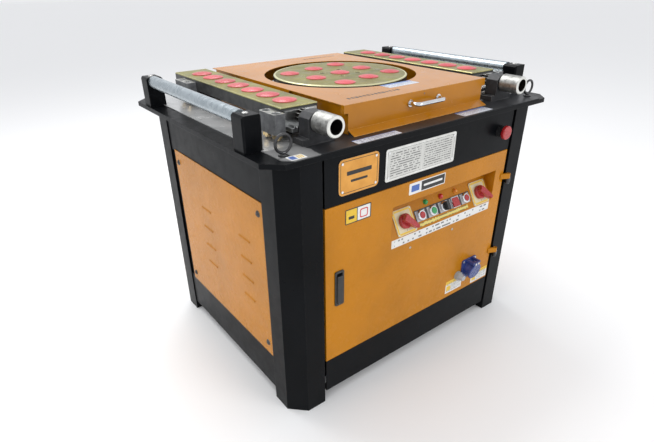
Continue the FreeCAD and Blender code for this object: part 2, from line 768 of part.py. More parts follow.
def adjuster_housings():
    """Cast bearing blocks for the adjusting shafts, in front of each bar."""
    housings = []
    for _, side in SIDES:
        x = bar_middle(side)
        front = SLEEVE_REAR + 1
        half = 27.0
        top = SLEEVE_Z + 20.0
        body = block(x - half, x + half, front, HOUSING_REAR, DECK, top)
        body = bevelled(body, 12.0, lambda edge: is_along(edge, Y_AXIS) and edge.CenterOfMass.z > top - 1)
        foot = block(x - half - 18, x + half + 18, front, HOUSING_REAR, DECK, DECK + 14)
        housing = join([body, foot])
        bore = rod(JOURNAL_RADIUS + 0.06, HOUSING_REAR - front + 2, x, front - 1, SLEEVE_Z, Y_AXIS)
        housings.append(housing.cut(bore))
    return group(housings)


def adjuster(side):
    """Sleeve for a tommy bar, with its shaft and the pinion that drives the rack."""
    x = bar_middle(side)
    sleeve = rod(SLEEVE_RADIUS, SLEEVE_LENGTH, x, SLEEVE_FRONT, SLEEVE_Z, Y_AXIS)
    rims = (SLEEVE_FRONT, SLEEVE_REAR)
    sleeve = bevelled(sleeve, 2.0, lambda edge: edge.Curve.TypeId == "Part::GeomCircle"
                      and min(abs(edge.Curve.Center.y - y) for y in rims) < 0.01)
    bore = rod(SLEEVE_BORE, SLEEVE_BORE_DEPTH + 1, x, SLEEVE_FRONT - 1, SLEEVE_Z, Y_AXIS)
    sleeve = sleeve.cut(bore)
    pinion_front = HOUSING_REAR + 2
    pinion_rear = BAR_FRONT - 8
    shaft = rod(JOURNAL_RADIUS, pinion_rear - SLEEVE_REAR + 4, x, SLEEVE_REAR - 4, SLEEVE_Z, Y_AXIS)
    outline = gear_outline(RACK_MODULE, RACK_PINION_TEETH, 0.3, -math.pi / 2, (x, SLEEVE_Z))
    pinion = prism([(px, pinion_front, pz) for px, pz in outline], (0, pinion_rear - pinion_front, 0))
    return join([sleeve, shaft, pinion])


# ---- disc ------------------------------------------------------------------------
def disc_socket_places():
    """Nine sockets in a square grid, turned a little about the disc's centre."""
    turn = math.radians(SOCKET_TURN)
    places = []
    for i in (-1, 0, 1):
        for j in (-1, 0, 1):
            u = i * SOCKET_PITCH
            v = j * SOCKET_PITCH
            x = DISC_X + u * math.cos(turn) - v * math.sin(turn)
            y = DISC_Y + u * math.sin(turn) + v * math.cos(turn)
            places.append((x, y))
    return places


def around_disc(radius, first, count):
    """Evenly spaced places on a circle about the disc's centre."""
    places = []
    for i in range(count):
        angle = math.radians(first + 360 * i / count)
        places.append((DISC_X + radius * math.cos(angle), DISC_Y + radius * math.sin(angle)))
    return places


def bending_disc():
    """The working disc, with its sockets, bolt holes and two lifting holes."""
    disc = rod(DISC_RADIUS, DISC_THICKNESS, DISC_X, DISC_Y, DISC_BOTTOM)
    disc = bevelled(disc, 2.0, lambda edge: is_circle_at(edge, DISC_TOP, DISC_RADIUS))
    tools = [rod(SOCKET_RADIUS, DISC_THICKNESS + 2, x, y, DISC_BOTTOM - 1) for x, y in disc_socket_places()]
    for x, y in around_disc(DISC_BOLT_CIRCLE, SOCKET_TURN + 45, 4):
        tools.append(rod(5.5, DISC_THICKNESS + 2, x, y, DISC_BOTTOM - 1))
        tools.append(rod(8.7, 12.0, x, y, DISC_TOP - 11))
    for x, y in around_disc(LIFT_HOLE_CIRCLE, 169, 2):
        tools.append(rod(5.0, 21.0, x, y, DISC_TOP - 20))
    return cut_all(disc, tools)


def disc_caps():
    """The nine caps of the disc."""
    return group([socket_cap(x, y, DISC_TOP) for x, y in disc_socket_places()])


def disc_bolts():
    """Four socket-head screws that hold the disc to the shaft's flange."""
    bolts = []
    for x, y in around_disc(DISC_BOLT_CIRCLE, SOCKET_TURN + 45, 4):
        head = rod(8.2, 9.0, x, y, DISC_TOP - 11)
        key = rod(4.2, 6.0, x, y, DISC_TOP - 7)
        shank = rod(5.0, 34.0, x, y, DISC_TOP - 11 - 33.0)
        bolts.append(head.cut(key).fuse(shank).removeSplitter())
    return group(bolts)


FLANGE_THICKNESS = 12.0
FLANGE_RADIUS = 88.0
MAIN_SHAFT_RADIUS = 42.0
STOP_RING_RADIUS = 207.0


def stop_ring():
    """The angle ring under the disc: its two stop pins trip the limit switches."""
    body = ring(STOP_RING_RADIUS, 150.0, 9.0, DISC_X, DISC_Y, DISC_BOTTOM - 9.0)
    holes = [rod(3.0, 11.0, x, y, DISC_BOTTOM - 10.0) for x, y in around_disc(196, 0, 36)]
    body = cut_all(body, holes)
    pins = []
    for x, y in around_disc(178, 205, 2):
        pins.append(rod(5.0, 13.0, x, y, DISC_BOTTOM - 21.0))
    return join([body] + pins)


def main_shaft():
    """Stepped shaft with the flange that the disc sits on."""
    flange = rod(FLANGE_RADIUS, FLANGE_THICKNESS, DISC_X, DISC_Y, DISC_BOTTOM - FLANGE_THICKNESS)
    bottom = GEARBOX_BOTTOM + 3
    shaft = rod(MAIN_SHAFT_RADIUS, DISC_BOTTOM - FLANGE_THICKNESS - bottom + 2, DISC_X, DISC_Y, bottom)
    holes = []
    for x, y in around_disc(DISC_BOLT_CIRCLE, SOCKET_TURN + 45, 4):
        holes.append(rod(5.05, FLANGE_THICKNESS + 2, x, y, DISC_BOTTOM - FLANGE_THICKNESS - 1))
    return cut_all(join([flange, shaft]), holes)


# ---- drive -------------------------------------------------------------------------
OUTPUT_GEAR_Z = (612.0, 672.0)
SECOND_GEAR_Z = (543.0, 588.0)
COUNTER_RADIUS = 22.0
INPUT_RADIUS = 17.0


def output_gear():
    """Big gear on the main shaft; the countershaft's pinion meshes on its left."""
    z0, z1 = OUTPUT_GEAR_Z
    gear = spur_gear(OUTPUT_MODULE, OUTPUT_TEETH, math.pi, (DISC_X, DISC_Y), z0, z1)
    tools = [rod(MAIN_SHAFT_RADIUS, z1 - z0 + 2, DISC_X, DISC_Y, z0 - 1)]
    for x, y in around_disc(118, 30, 6):
        tools.append(rod(34.0, z1 - z0 + 2, x, y, z0 - 1))
    return cut_all(gear, tools)


def countershaft():
    """Middle shaft: its pinion drives the output gear, its wheel takes the input."""
    z0, z1 = OUTPUT_GEAR_Z
    shaft = rod(COUNTER_RADIUS, 196.0, COUNTER_X, COUNTER_Y, GEARBOX_BOTTOM + 3)
    space = math.pi / PINION_TEETH
    pinion = spur_gear(OUTPUT_MODULE, PINION_TEETH, space, (COUNTER_X, COUNTER_Y), z0 - 3, z1 + 3)
    wheel = spur_gear(SECOND_MODULE, SECOND_TEETH, math.pi / 2, (COUNTER_X, COUNTER_Y), *SECOND_GEAR_Z)
    holes = []
    for i in range(6):
        angle = math.radians(60 * i)
        holes.append(rod(24.0, 60.0, COUNTER_X + 88 * math.cos(angle), COUNTER_Y + 88 * math.sin(angle),
                         SECOND_GEAR_Z[0] - 5))
    return join([shaft, pinion, wheel.cut(holes)])


def input_shaft():
    """Fast shaft: pinion inside the gearbox, pulley seat below it."""
    z0, z1 = SECOND_GEAR_Z
    bottom = BELT_Z - PULLEY_HALF_HEIGHT - 4
    shaft = rod(INPUT_RADIUS, 700.0 - bottom, INPUT_X, INPUT_Y, bottom)
    phase = -math.pi / 2 + math.pi / PINION_TEETH
    pinion = spur_gear(SECOND_MODULE, PINION_TEETH, phase, (INPUT_X, INPUT_Y), z0 - 3, z1 + 3)
    return join([shaft, pinion])


def gearbox_outline(grow):
    """Plan of the gearbox, grown outwards by grow: round about the big gear, square by the input."""
    left = COUNTER_X - SECOND_RADIUS - 14 - grow
    right = DISC_X + OUTPUT_RADIUS + 14 + grow
    front = DISC_Y - OUTPUT_RADIUS - 14 - grow
    back = INPUT_Y + SECOND_PINION_RADIUS + 20 + grow
    corner = 70.0
    return [(left, front + corner), (left + corner, front), (right - corner, front),
            (right, front + corner), (right, back - corner), (right - corner, back),
            (left + corner, back), (left, back - corner)]


SHAFTS = (
    (DISC_X, DISC_Y, MAIN_SHAFT_RADIUS, 70.0),
    (COUNTER_X, COUNTER_Y, COUNTER_RADIUS, 45.0),
    (INPUT_X, INPUT_Y, INPUT_RADIUS, 38.0),
)
GEARBOX_TOP = 716.0
BEARING_HEIGHT = 18.0
NECK_TOP = DISC_BOTTOM - FLANGE_THICKNESS - 2.0


def gearbox_housing():
    """Cast tub that holds the gears and the lower bearings."""
    outer = plan_prism(gearbox_outline(GEARBOX_WALL), GEARBOX_BOTTOM, GEARBOX_TOP)
    tools = [plan_prism(gearbox_outline(0), GEARBOX_BOTTOM + BEARING_HEIGHT + 6, GEARBOX_TOP + 1)]
    for x, y, shaft_radius, bearing_radius in SHAFTS:
        tools.append(rod(bearing_radius, BEARING_HEIGHT + 10, x, y, GEARBOX_BOTTOM + 6))
    tools.append(rod(INPUT_RADIUS + 1, 20, INPUT_X, INPUT_Y, GEARBOX_BOTTOM - 1))
    tools.append(rod(MAIN_SHAFT_RADIUS + 1, 20, DISC_X, DISC_Y, GEARBOX_BOTTOM - 1))
    tools.append(rod(COUNTER_RADIUS + 1, 20, COUNTER_X, COUNTER_Y, GEARBOX_BOTTOM - 1))
    return cut_all(outer, tools)


def gearbox_cover():
    """Lid of the gearbox, with the neck that carries the main bearing up through the table."""
    lid = plan_prism(gearbox_outline(GEARBOX_WALL), GEARBOX_TOP, TABLE_UNDER)
    neck = rod(92.0, NECK_TOP - GEARBOX_TOP, DISC_X, DISC_Y, GEARBOX_TOP)
    tools = [
        rod(70.0, NECK_TOP - GEARBOX_TOP + 2, DISC_X, DISC_Y, GEARBOX_TOP - 1),
    ]
    hubs = []
    for x, y, shaft_radius, bearing_radius in SHAFTS[1:]:
        hubs.append(rod(bearing_radius + 8, BEARING_HEIGHT, x, y, GEARBOX_TOP - BEARING_HEIGHT))
        tools.append(rod(bearing_radius, BEARING_HEIGHT + 1, x, y, GEARBOX_TOP - BEARING_HEIGHT - 1))
    return cut_all(join([lid, neck] + hubs), tools)


def shaft_bearings():
    """Six ball-bearing rings: one at each end of each shaft."""
    bearings = []
    for x, y, shaft_radius, bearing_radius in SHAFTS:
        bearings.append(ring(bearing_radius, shaft_radius + 0.05, BEARING_HEIGHT, x, y, GEARBOX_BOTTOM + 6))
    bearings.append(ring(70.0, MAIN_SHAFT_RADIUS + 0.05, BEARING_HEIGHT + 8, DISC_X, DISC_Y,
                         NECK_TOP - BEARING_HEIGHT - 10))
    for x, y, shaft_radius, bearing_radius in SHAFTS[1:]:
        bearings.append(ring(bearing_radius, shaft_radius + 0.05, BEARING_HEIGHT, x, y,
                             GEARBOX_TOP - BEARING_HEIGHT))
    return group(bearings)


MOTOR_RADIUS = 92.0
MOTOR_BOTTOM = 108.0
MOTOR_TOP = BELT_Z - PULLEY_HALF_HEIGHT - 12


def motor():
    """Upright motor: finned body, end bells, terminal box and foot plate."""
    body = rod(MOTOR_RADIUS - 6, MOTOR_TOP - MOTOR_BOTTOM - 30, MOTOR_X, MOTOR_Y, MOTOR_BOTTOM + 18)
    fins = []
    for i in range(24):
        fin = block(MOTOR_RADIUS - 8, MOTOR_RADIUS + 2, -1.5, 1.5, MOTOR_BOTTOM + 60, MOTOR_TOP - 50)
        fin.rotate(Vector(0, 0, 0), Z_AXIS, 15 * i)
        fin.translate(Vector(MOTOR_X, MOTOR_Y, 0))
        fins.append(fin)
    foot = block(MOTOR_X - 100, MOTOR_X + 100, MOTOR_Y - 102, MOTOR_Y + 102, MOTOR_BOTTOM, MOTOR_BOTTOM + 12)
    fan_cover = rod(MOTOR_RADIUS, 50, MOTOR_X, MOTOR_Y, MOTOR_BOTTOM + 10)
    bell = Part.makeCone(MOTOR_RADIUS, 55, 40, Vector(MOTOR_X, MOTOR_Y, MOTOR_TOP - 50))
    terminal_box = block(MOTOR_X - 50, MOTOR_X + 50, MOTOR_Y - MOTOR_RADIUS - 40, MOTOR_Y - MOTOR_RADIUS + 30,
                         MOTOR_BOTTOM + 110, MOTOR_BOTTOM + 190)
    whole = join([body, foot, fan_cover, bell, terminal_box] + fins)
    return whole.cut(rod(20.0, 70, MOTOR_X, MOTOR_Y, MOTOR_TOP - 60))


def motor_pulley():
    """Small pulley with the end of the motor's shaft."""
    pulley = v_pulley(MOTOR_PULLEY_RADIUS, MOTOR_X, MOTOR_Y, 14.0)
    bottom = MOTOR_TOP - 50
    shaft = rod(14.2, BELT_Z + PULLEY_HALF_HEIGHT - bottom, MOTOR_X, MOTOR_Y, bottom)
    return join([pulley, shaft])


def input_pulley():
    """Large pulley under the gearbox."""
    pulley = v_pulley(INPUT_PULLEY_RADIUS, INPUT_X, INPUT_Y, INPUT_RADIUS)
    tools = []
    for i in range(5):
        angle = math.radians(72 * i)
        x = INPUT_X + 60 * math.cos(angle)
        y = INPUT_Y + 60 * math.sin(angle)
        tools.append(rod(22.0, 2 * PULLEY_HALF_HEIGHT + 2, x, y, BELT_Z - PULLEY_HALF_HEIGHT - 1))
    return cut_all(pulley, tools)


def belt_loop(radius_in, radius_motor, z0, z1):
    """A solid in the shape of a tight belt's outline around both pulleys."""
    span = MOTOR_X - INPUT_X
    lean = math.acos((radius_in - radius_motor) / span)
    points = []
    steps = 24
    for i in range(steps + 1):
        angle = lean + (2 * math.pi - 2 * lean) * i / steps
        points.append((INPUT_X + radius_in * math.cos(angle), INPUT_Y + radius_in * math.sin(angle)))
    for i in range(steps + 1):
        angle = -lean + 2 * lean * i / steps
        points.append((MOTOR_X + radius_motor * math.cos(angle), MOTOR_Y + radius_motor * math.sin(angle)))
    return plan_prism(points, z0, z1)


def drive_belts():
    """Three V-belts, drawn a little clear of the grooves' flanks."""
    belts = []
    for i in range(BELT_GROOVES):
        z = BELT_Z + (i - (BELT_GROOVES - 1) / 2) * BELT_PITCH
        outer = belt_loop(INPUT_PULLEY_RADIUS + 2, MOTOR_PULLEY_RADIUS + 2, z - 4.4, z + 4.4)
        inner = belt_loop(INPUT_PULLEY_RADIUS - 7, MOTOR_PULLEY_RADIUS - 7, z - 5, z + 5)
        belts.append(outer.cut(inner))
    return group(belts)


def electrical_box():
    """Control box on the floor tray behind the door's left half: shell, lid and contactors."""
    x0, x1 = -320.0, -60.0
    y0, y1 = -250.0, -130.0
    z0, z1 = 63.0, 400.0
    wall = 3.0
    shell = block(x0, x1, y0, y1, z0, z1)
    hollow = block(x0 + wall, x1 - wall, y0 - 1, y1 - wall, z0 + wall, z1 - wall)
    lid = block(x0, x1, y0 - wall, y0, z0 + 2, z1)
    contactors = [block(x0 + 20, x1 - 20, y1 - 8, y1 - wall, 235, 325)]
    for i in range(4):
        x = x0 + 22 + 57 * i
        contactors.append(block(x, x + 45, y1 - 60, y1 - 7, 240, 320))
    return group([shell.cut(hollow), lid, join(contactors)])


# ---- top cover -------------------------------------------------------------------
def top_cover():
    """Sheet cover with the disc's hole, a splayed front foot and a lip along each side."""
    x0 = DISC_X - 0.5 - COVER_HALF_WIDTH
    x1 = DISC_X - 0.5 + COVER_HALF_WIDTH
    wall0 = x0 + COVER_WALL_INSET
    wall1 = x1 - COVER_WALL_INSET
    t = THIN_SHEET
    top = block(x0, x1, COVER_FRONT, COVER_REAR, COVER_TOP - t, COVER_TOP)
    crease = DECK + 11.0
    front_profile = [
        (COVER_FRONT, COVER_TOP - t), (COVER_FRONT, crease),
        (COVER_FRONT - COVER_FOOT, DECK + 0.3), (COVER_FRONT - COVER_FOOT + 3, DECK + 0.3),
        (COVER_FRONT + t, crease - 1), (COVER_FRONT + t, COVER_TOP - t),
    ]
    front = profile_prism(front_profile, wall0, wall1)
    pieces = [top, front]
    for x in (wall0, wall1 - t):
        pieces.append(block(x, x + t, COVER_FRONT + 1, COVER_REAR, DECK + 0.3, COVER_TOP - t))
    for x in (x0, x1 - t):
        pieces.append(block(x, x + t, *COVER_LIP_SPAN, COVER_TOP - COVER_LIP, COVER_TOP))
        corner = block(x, x + t, COVER_FRONT, COVER_FRONT + 12, COVER_TOP - COVER_LIP, COVER_TOP)
        pieces.append(corner)
    for x in (x0, wall1):
        pieces.append(block(x, x + COVER_WALL_INSET, COVER_FRONT, COVER_FRONT + t,
                            COVER_TOP - COVER_LIP, COVER_TOP))
    pieces.append(block(wall0, wall1, COVER_REAR - t, COVER_REAR, COVER_HINGE_Z + 8, COVER_TOP))
    leaf = block(wall0 + 60, wall1 - 60, COVER_REAR - t, COVER_REAR + 1,
                 COVER_HINGE_Z - 2, COVER_HINGE_Z + 12)
    pieces.append(leaf)
    for x in cover_knuckles():
        eye = rod(5.0, 30, x, COVER_HINGE_Y, COVER_HINGE_Z, X_AXIS)
        web = block(x, x + 30, COVER_REAR - 0.5, COVER_HINGE_Y, COVER_HINGE_Z - 1.5, COVER_HINGE_Z + 1.5)
        pieces.extend([eye, web])
    cover = join(pieces)
    tools = [rod(COVER_HOLE_RADIUS, 10, DISC_X, DISC_Y, COVER_TOP - 6)]
    tools.append(rod(2.56, 400, DISC_X - 200, COVER_HINGE_Y, COVER_HINGE_Z, X_AXIS))
    for x in HANDLE_ENDS:
        tools.append(rod(3.1, 6, x, COVER_FRONT - 2, HANDLE_Z, Y_AXIS))
    return cut_all(cover, tools)


COVER_LIP_SPAN = (-90.0, 170.0)
HANDLE_ENDS = (-38.0, 65.0)
HANDLE_Z = 786.0


def cover_knuckles():
    """Left ends of the cover's own hinge knuckles."""
    return (DISC_X - 150.0, DISC_X + 120.0)


def cover_handle():
    """Chromed pull handle: a bent round bar on two rosettes, with its screws."""
    left, right = HANDLE_ENDS
    standoff = 27.0
    bar_radius = 5.5
    bend = 12.0
    y = COVER_FRONT - standoff
    middle = math.sqrt(0.5) * bend
    start = Vector(left, COVER_FRONT - 3, HANDLE_Z)
    left_leg = Vector(left, y + bend, HANDLE_Z)
    left_elbow = Vector(left + bend - middle, y + bend - middle, HANDLE_Z)
    grip_start = Vector(left + bend, y, HANDLE_Z)
    grip_end = Vector(right - bend, y, HANDLE_Z)
    right_elbow = Vector(right - bend + middle, y + bend - middle, HANDLE_Z)
    right_leg = Vector(right, y + bend, HANDLE_Z)
    end = Vector(right, COVER_FRONT - 3, HANDLE_Z)
    path = Part.Wire([
        Part.LineSegment(start, left_leg).toShape(),
        Part.Arc(left_leg, left_elbow, grip_start).toShape(),
        Part.LineSegment(grip_start, grip_end).toShape(),
        Part.Arc(grip_end, right_elbow, right_leg).toShape(),
        Part.LineSegment(right_leg, end).toShape(),
    ])
    section = Part.Wire(Part.makeCircle(bar_radius, start, Y_AXIS))
    bar = path.makePipeShell([section], True, False)
    pieces = [bar]
    for x in (left, right):
        pieces.append(rod(9.0, 3.5, x, COVER_FRONT - 3.5, HANDLE_Z, Y_AXIS))
        pieces.append(rod(3.0, 10.0, x, COVER_FRONT - 3.5, HANDLE_Z, Y_AXIS))
        pieces.append(rod(7.0, 3.0, x, COVER_FRONT + THIN_SHEET, HANDLE_Z, Y_AXIS))
    return join(pieces)


def hinge_pins():
    """Fixed halves of the door's and the cover's hinges, with their pins."""
    pieces = []
    for z in HINGE_CENTRES:
        knuckle = rod(HINGE_RADIUS, HINGE_HEIGHT / 2 - 0.5, HINGE_X, HINGE_Y, z - HINGE_HEIGHT / 2)
        pin = rod(3.0, HINGE_HEIGHT - 2, HINGE_X, HINGE_Y, z - HINGE_HEIGHT / 2)
        leaf = block(HINGE_X, HINGE_X + 16, HINGE_Y, -HALF_D, z - HINGE_HEIGHT / 2, z - 0.5)
        pieces.append(join([knuckle, pin, leaf]))
    pin_length = 340.0
    x0 = DISC_X - pin_length / 2
    rod_pin = rod(2.5, pin_length, x0, COVER_HINGE_Y, COVER_HINGE_Z, X_AXIS)
    holders = []
    for x in (DISC_X - 118.0, DISC_X + 78.0):
        holders.append(rod(5.0, 40, x, COVER_HINGE_Y, COVER_HINGE_Z, X_AXIS))
        holders.append(block(x, x + 40, COVER_HINGE_Y - 4, COVER_HINGE_Y + 18, DECK, DECK + 3))
    pieces.append(join([rod_pin] + holders))
    return group(pieces)


HINGE_Y = -HALF_D - HINGE_RADIUS - 1.0


# ---- door and controls --------------------------------------------------------------
SWITCH_NAMES = ("button_red_left", "button_green", "selector_switch", "rocker_switch", "button_red_right")
BODY_HOLE = 11.3
BEZEL_RADIUS = 15.0
BEZEL_HEIGHT = 8.0
ROCKER_HALF = 14.0
ROCKER_PIN = 1.2
ROCKER_AXIS = 5.2


def switch_x(index):
    """Place along the pan of one of the five middle switches."""
    return CONTROLS_CENTRE + (index - 2) * SWITCH_PITCH


def control_pan():
    """The tilted pan in the door, with its cheeks, roof and the holes of its switches."""
    t = THIN_SHEET
    tilt = math.radians(PAN_TILT)
    depth = (PAN_TOP - PAN_BOTTOM) * math.tan(tilt)
    x0 = PAN_CENTRE - PAN_HALF_WIDTH
    x1 = PAN_CENTRE + PAN_HALF_WIDTH
    back = [(SKIN_Y, PAN_BOTTOM), (SKIN_Y + depth, PAN_TOP)]
    back += [(SKIN_Y + depth + t, PAN_TOP), (SKIN_Y + t, PAN_BOTTOM)]
    cheek = [(SKIN_Y, PAN_BOTTOM), (SKIN_Y + depth + t, PAN_TOP + t), (SKIN_Y, PAN_TOP + t)]
    plate = profile_prism(back, x0, x1)
    left = profile_prism(cheek, x0 - t, x0)
    right = profile_prism(cheek, x1, x1 + t)
    roof = block(x0 - t, x1 + t, SKIN_Y, SKIN_Y + depth + t, PAN_TOP, PAN_TOP + t)
    tools = []
    for index in range(len(SWITCH_NAMES)):
        tools.append(on_pan(rod(BODY_HOLE, 12, switch_x(index), SWITCH_ROW, -6)))
    for side in (-1, 1):
        x = CONTROLS_CENTRE + side * PLATE_OFFSET
        tools.append(on_pan(rod(16.0, 12, x, PLATE_SIZE / 2, -6)))
    for i in (-1, 0, 1):
        tools.append(on_pan(rod(4.2, 12, CONTROLS_CENTRE + i * LAMP_PITCH, LAMP_ROW, -6)))
    return join([plate, left, right, roof]).cut(tools)


LATCH_X = -307.0
LATCH_Z = 367.0
LATCH_HALF = 8.9
INLET_X = 236.0
INLET_Z = 222.0
GLAND_X = 186.0
GLAND_Z = 210.0


def door():
    """Door sheet with folded edges, the control pan, its hinge knuckles and cut-outs."""
    t = THIN_SHEET
    y0 = SKIN_Y
    face = block(DOOR_LEFT, DOOR_RIGHT, y0, y0 + t, DOOR_BOTTOM, DOOR_TOP)
    x0 = PAN_CENTRE - PAN_HALF_WIDTH
    x1 = PAN_CENTRE + PAN_HALF_WIDTH
    face = face.cut(block(x0, x1, y0 - 1, y0 + t + 1, PAN_BOTTOM, PAN_TOP))
    returns = [
        block(DOOR_LEFT, DOOR_LEFT + t, y0, y0 + DOOR_RETURN, DOOR_BOTTOM, DOOR_TOP),
        block(DOOR_RIGHT - t, DOOR_RIGHT, y0, y0 + DOOR_RETURN, DOOR_BOTTOM, DOOR_TOP),
        block(DOOR_LEFT, DOOR_RIGHT, y0, y0 + DOOR_RETURN, DOOR_BOTTOM, DOOR_BOTTOM + t),
        block(DOOR_LEFT, DOOR_RIGHT, y0, y0 + DOOR_RETURN, DOOR_TOP - t, DOOR_TOP),
    ]
    knuckles = []
    for z in HINGE_CENTRES:
        knuckles.append(ring(HINGE_RADIUS, 3.06, HINGE_HEIGHT / 2 - 0.5, HINGE_X, HINGE_Y, z + 0.5))
        leaf = [(DOOR_RIGHT - 14, y0), (DOOR_RIGHT - 14, y0 - 2.5), (HINGE_X - 4.5, HINGE_Y - 4),
                (HINGE_X - 4.5, HINGE_Y + 3.5), (DOOR_RIGHT - 2, y0 - 0.2), (DOOR_RIGHT - 2, y0)]
        knuckles.append(plan_prism(leaf, z + 0.5, z + HINGE_HEIGHT / 2))
    sheet = join([face, control_pan()] + returns + knuckles)
    tools = [
        block(LATCH_X - LATCH_HALF - 2.6, LATCH_X + LATCH_HALF + 2.6, y0 - 1, y0 + t + 1,
              LATCH_Z - 48, LATCH_Z + 48),
        rod(24.0, 8, INLET_X, y0 - 2, INLET_Z, Y_AXIS),
        rod(10.3, 8, GLAND_X, y0 - 2, GLAND_Z, Y_AXIS),
    ]
    return cut_all(sheet, tools)


def switch_plates():
    """Two square switch plates with their switch bodies, and the strip behind the push buttons."""
    pieces = []
    half = PLATE_SIZE / 2
    for side in (-1, 1):
        x = CONTROLS_CENTRE + side * PLATE_OFFSET
        plate = block(x - half, x + half, 0, PLATE_SIZE, 0, 3.0)
        plate = rounded(plate, 5.0, lambda edge: is_along(edge, Z_AXIS))
        body = rod(15.5, 50, x, half, -49.5)
        pieces.append(on_pan(join([plate, body]).cut(rod(5.0, 12, x, half, -8))))
    reach = 2 * SWITCH_PITCH + 22
    strip = block(CONTROLS_CENTRE - reach, CONTROLS_CENTRE + reach, SWITCH_ROW - 16, SWITCH_ROW + 17, 0, 1.5)
    holes = [rod(BODY_HOLE, 4, switch_x(i), SWITCH_ROW, -1) for i in range(len(SWITCH_NAMES))]
    pieces.append(on_pan(strip.cut(holes)))
    return group(pieces)


def round_bezel(x):
    """Chromed bezel with its threaded body and contact block, in the pan's frame."""
    collar = rod(BEZEL_RADIUS, BEZEL_HEIGHT, x, SWITCH_ROW, 1.5)
    collar = bevelled(collar, 2.0, lambda edge: is_circle_at(edge, 1.5 + BEZEL_HEIGHT, BEZEL_RADIUS))
    barrel = rod(BODY_HOLE - 0.2, 30, x, SWITCH_ROW, -28)
    contacts = block(x - 14, x + 14, SWITCH_ROW - 18, SWITCH_ROW + 18, -60, -27)
    well = rod(10.0, 24, x, SWITCH_ROW, -11)
    return join([collar, barrel, contacts]).cut(well)


def square_bezel(x):
    """Frame and body of the rocker switch, in the pan's frame."""
    half = ROCKER_HALF + 2.0
    frame = block(x - half, x + half, SWITCH_ROW - half, SWITCH_ROW + half, 1.5, 7.0)
    barrel = rod(BODY_HOLE - 0.2, 30, x, SWITCH_ROW, -28)
    inner = ROCKER_HALF + 0.3
    well = block(x - inner, x + inner, SWITCH_ROW - inner, SWITCH_ROW + inner, 3.0, 12.0)
    pivot = rod(ROCKER_PIN + 0.06, 2 * half + 2, x - half - 1, SWITCH_ROW, ROCKER_AXIS, X_AXIS)
    return cut_all(join([frame, barrel]), [well, pivot])


def switch_bezels():
    """Bezels of the five middle switches."""
    bezels = []
    for index, name in enumerate(SWITCH_NAMES):
        maker = square_bezel if name == "rocker_switch" else round_bezel
        bezels.append(on_pan(maker(switch_x(index))))
    return group(bezels)


def push_button(index):
    """A push button's cap and stem."""
    x = switch_x(index)
    cap = rod(9.8, 9.5, x, SWITCH_ROW, 2.0)
    cap = bevelled(cap, 1.0, lambda edge: is_circle_at(edge, 11.5, 9.8))
    stem = rod(3.0, 9.0, x, SWITCH_ROW, -6.5)
    return on_pan(join([cap, stem]))


def selector_switch(index):
    """The turn switch: a round head with a raised grip."""
    x = switch_x(index)
    head = rod(9.8, 9.0, x, SWITCH_ROW, 2.0)
    grip = block(x - 3.5, x + 3.5, SWITCH_ROW - 13, SWITCH_ROW + 13, 10.5, 21.0)
    grip = rounded(grip, 3.0, lambda edge: is_along(edge, Z_AXIS))
    stem = rod(3.0, 9.0, x, SWITCH_ROW, -6.5)
    return on_pan(join([head, grip, stem]))


def rocker_switch(index):
    """The square rocker with the pivot pin across its middle, about which it tips."""
    x = switch_x(index)
    half = ROCKER_HALF - 0.7
    side = [(SWITCH_ROW - half, 6.6), (SWITCH_ROW + half, 4.2), (SWITCH_ROW + half, 7.4),
            (SWITCH_ROW, 9.4), (SWITCH_ROW - half, 10.6)]
    reach = ROCKER_HALF + 1.4
    pin = rod(ROCKER_PIN, 2 * reach, x - reach, SWITCH_ROW, ROCKER_AXIS, X_AXIS)
    return on_pan(join([profile_prism(side, x - half, x + half), pin]))


def indicator_lamps():
    """Three small domed lamps above the switches."""
    lamps = []
    for i in (-1, 0, 1):
        x = CONTROLS_CENTRE + i * LAMP_PITCH
        rim = rod(8.0, 2.6, x, LAMP_ROW, 0.0)
        barrel = rod(4.0, 16.0, x, LAMP_ROW, -15.0)
        lens = Part.makeSphere(6.6, Vector(x, LAMP_ROW, 2.8))
        lens = lens.common(rod(7.0, 12.0, x, LAMP_ROW, 0.5))
        lamps.append(on_pan(join([rim, barrel, lens])))
    return group(lamps)


KNOB_POINTS = -45.0


def rotary_switch(side):
    """Big red switch: a hub with a tapering pointer handle."""
    x = CONTROLS_CENTRE + side * PLATE_OFFSET
    y = PLATE_SIZE / 2
    base = 3.3
    hub = rod(21.0, 11.0, x, y, base)
    hub = bevelled(hub, 2.5, lambda edge: is_circle_at(edge, base + 11.0, 21.0))
    outline = [(-17.0, -8.5), (-11.0, -11.0), (16.0, -8.0), (35.0, -5.0), (38.0, 0.0),
               (35.0, 5.0), (16.0, 8.0), (-11.0, 11.0), (-17.0, 8.5)]
    crown = base + 25.0
    handle = plan_prism(outline, base + 9.0, crown)
    handle = rounded(handle, 2.0, lambda edge: edge.CenterOfMass.z > crown - 0.1)
    handle.rotate(Vector(0, 0, 0), Z_AXIS, KNOB_POINTS)
    handle.translate(Vector(x, y, 0))
    stem = rod(4.9, 11.0, x, y, base - 10.5)
    return on_pan(join([hub, handle, stem]))


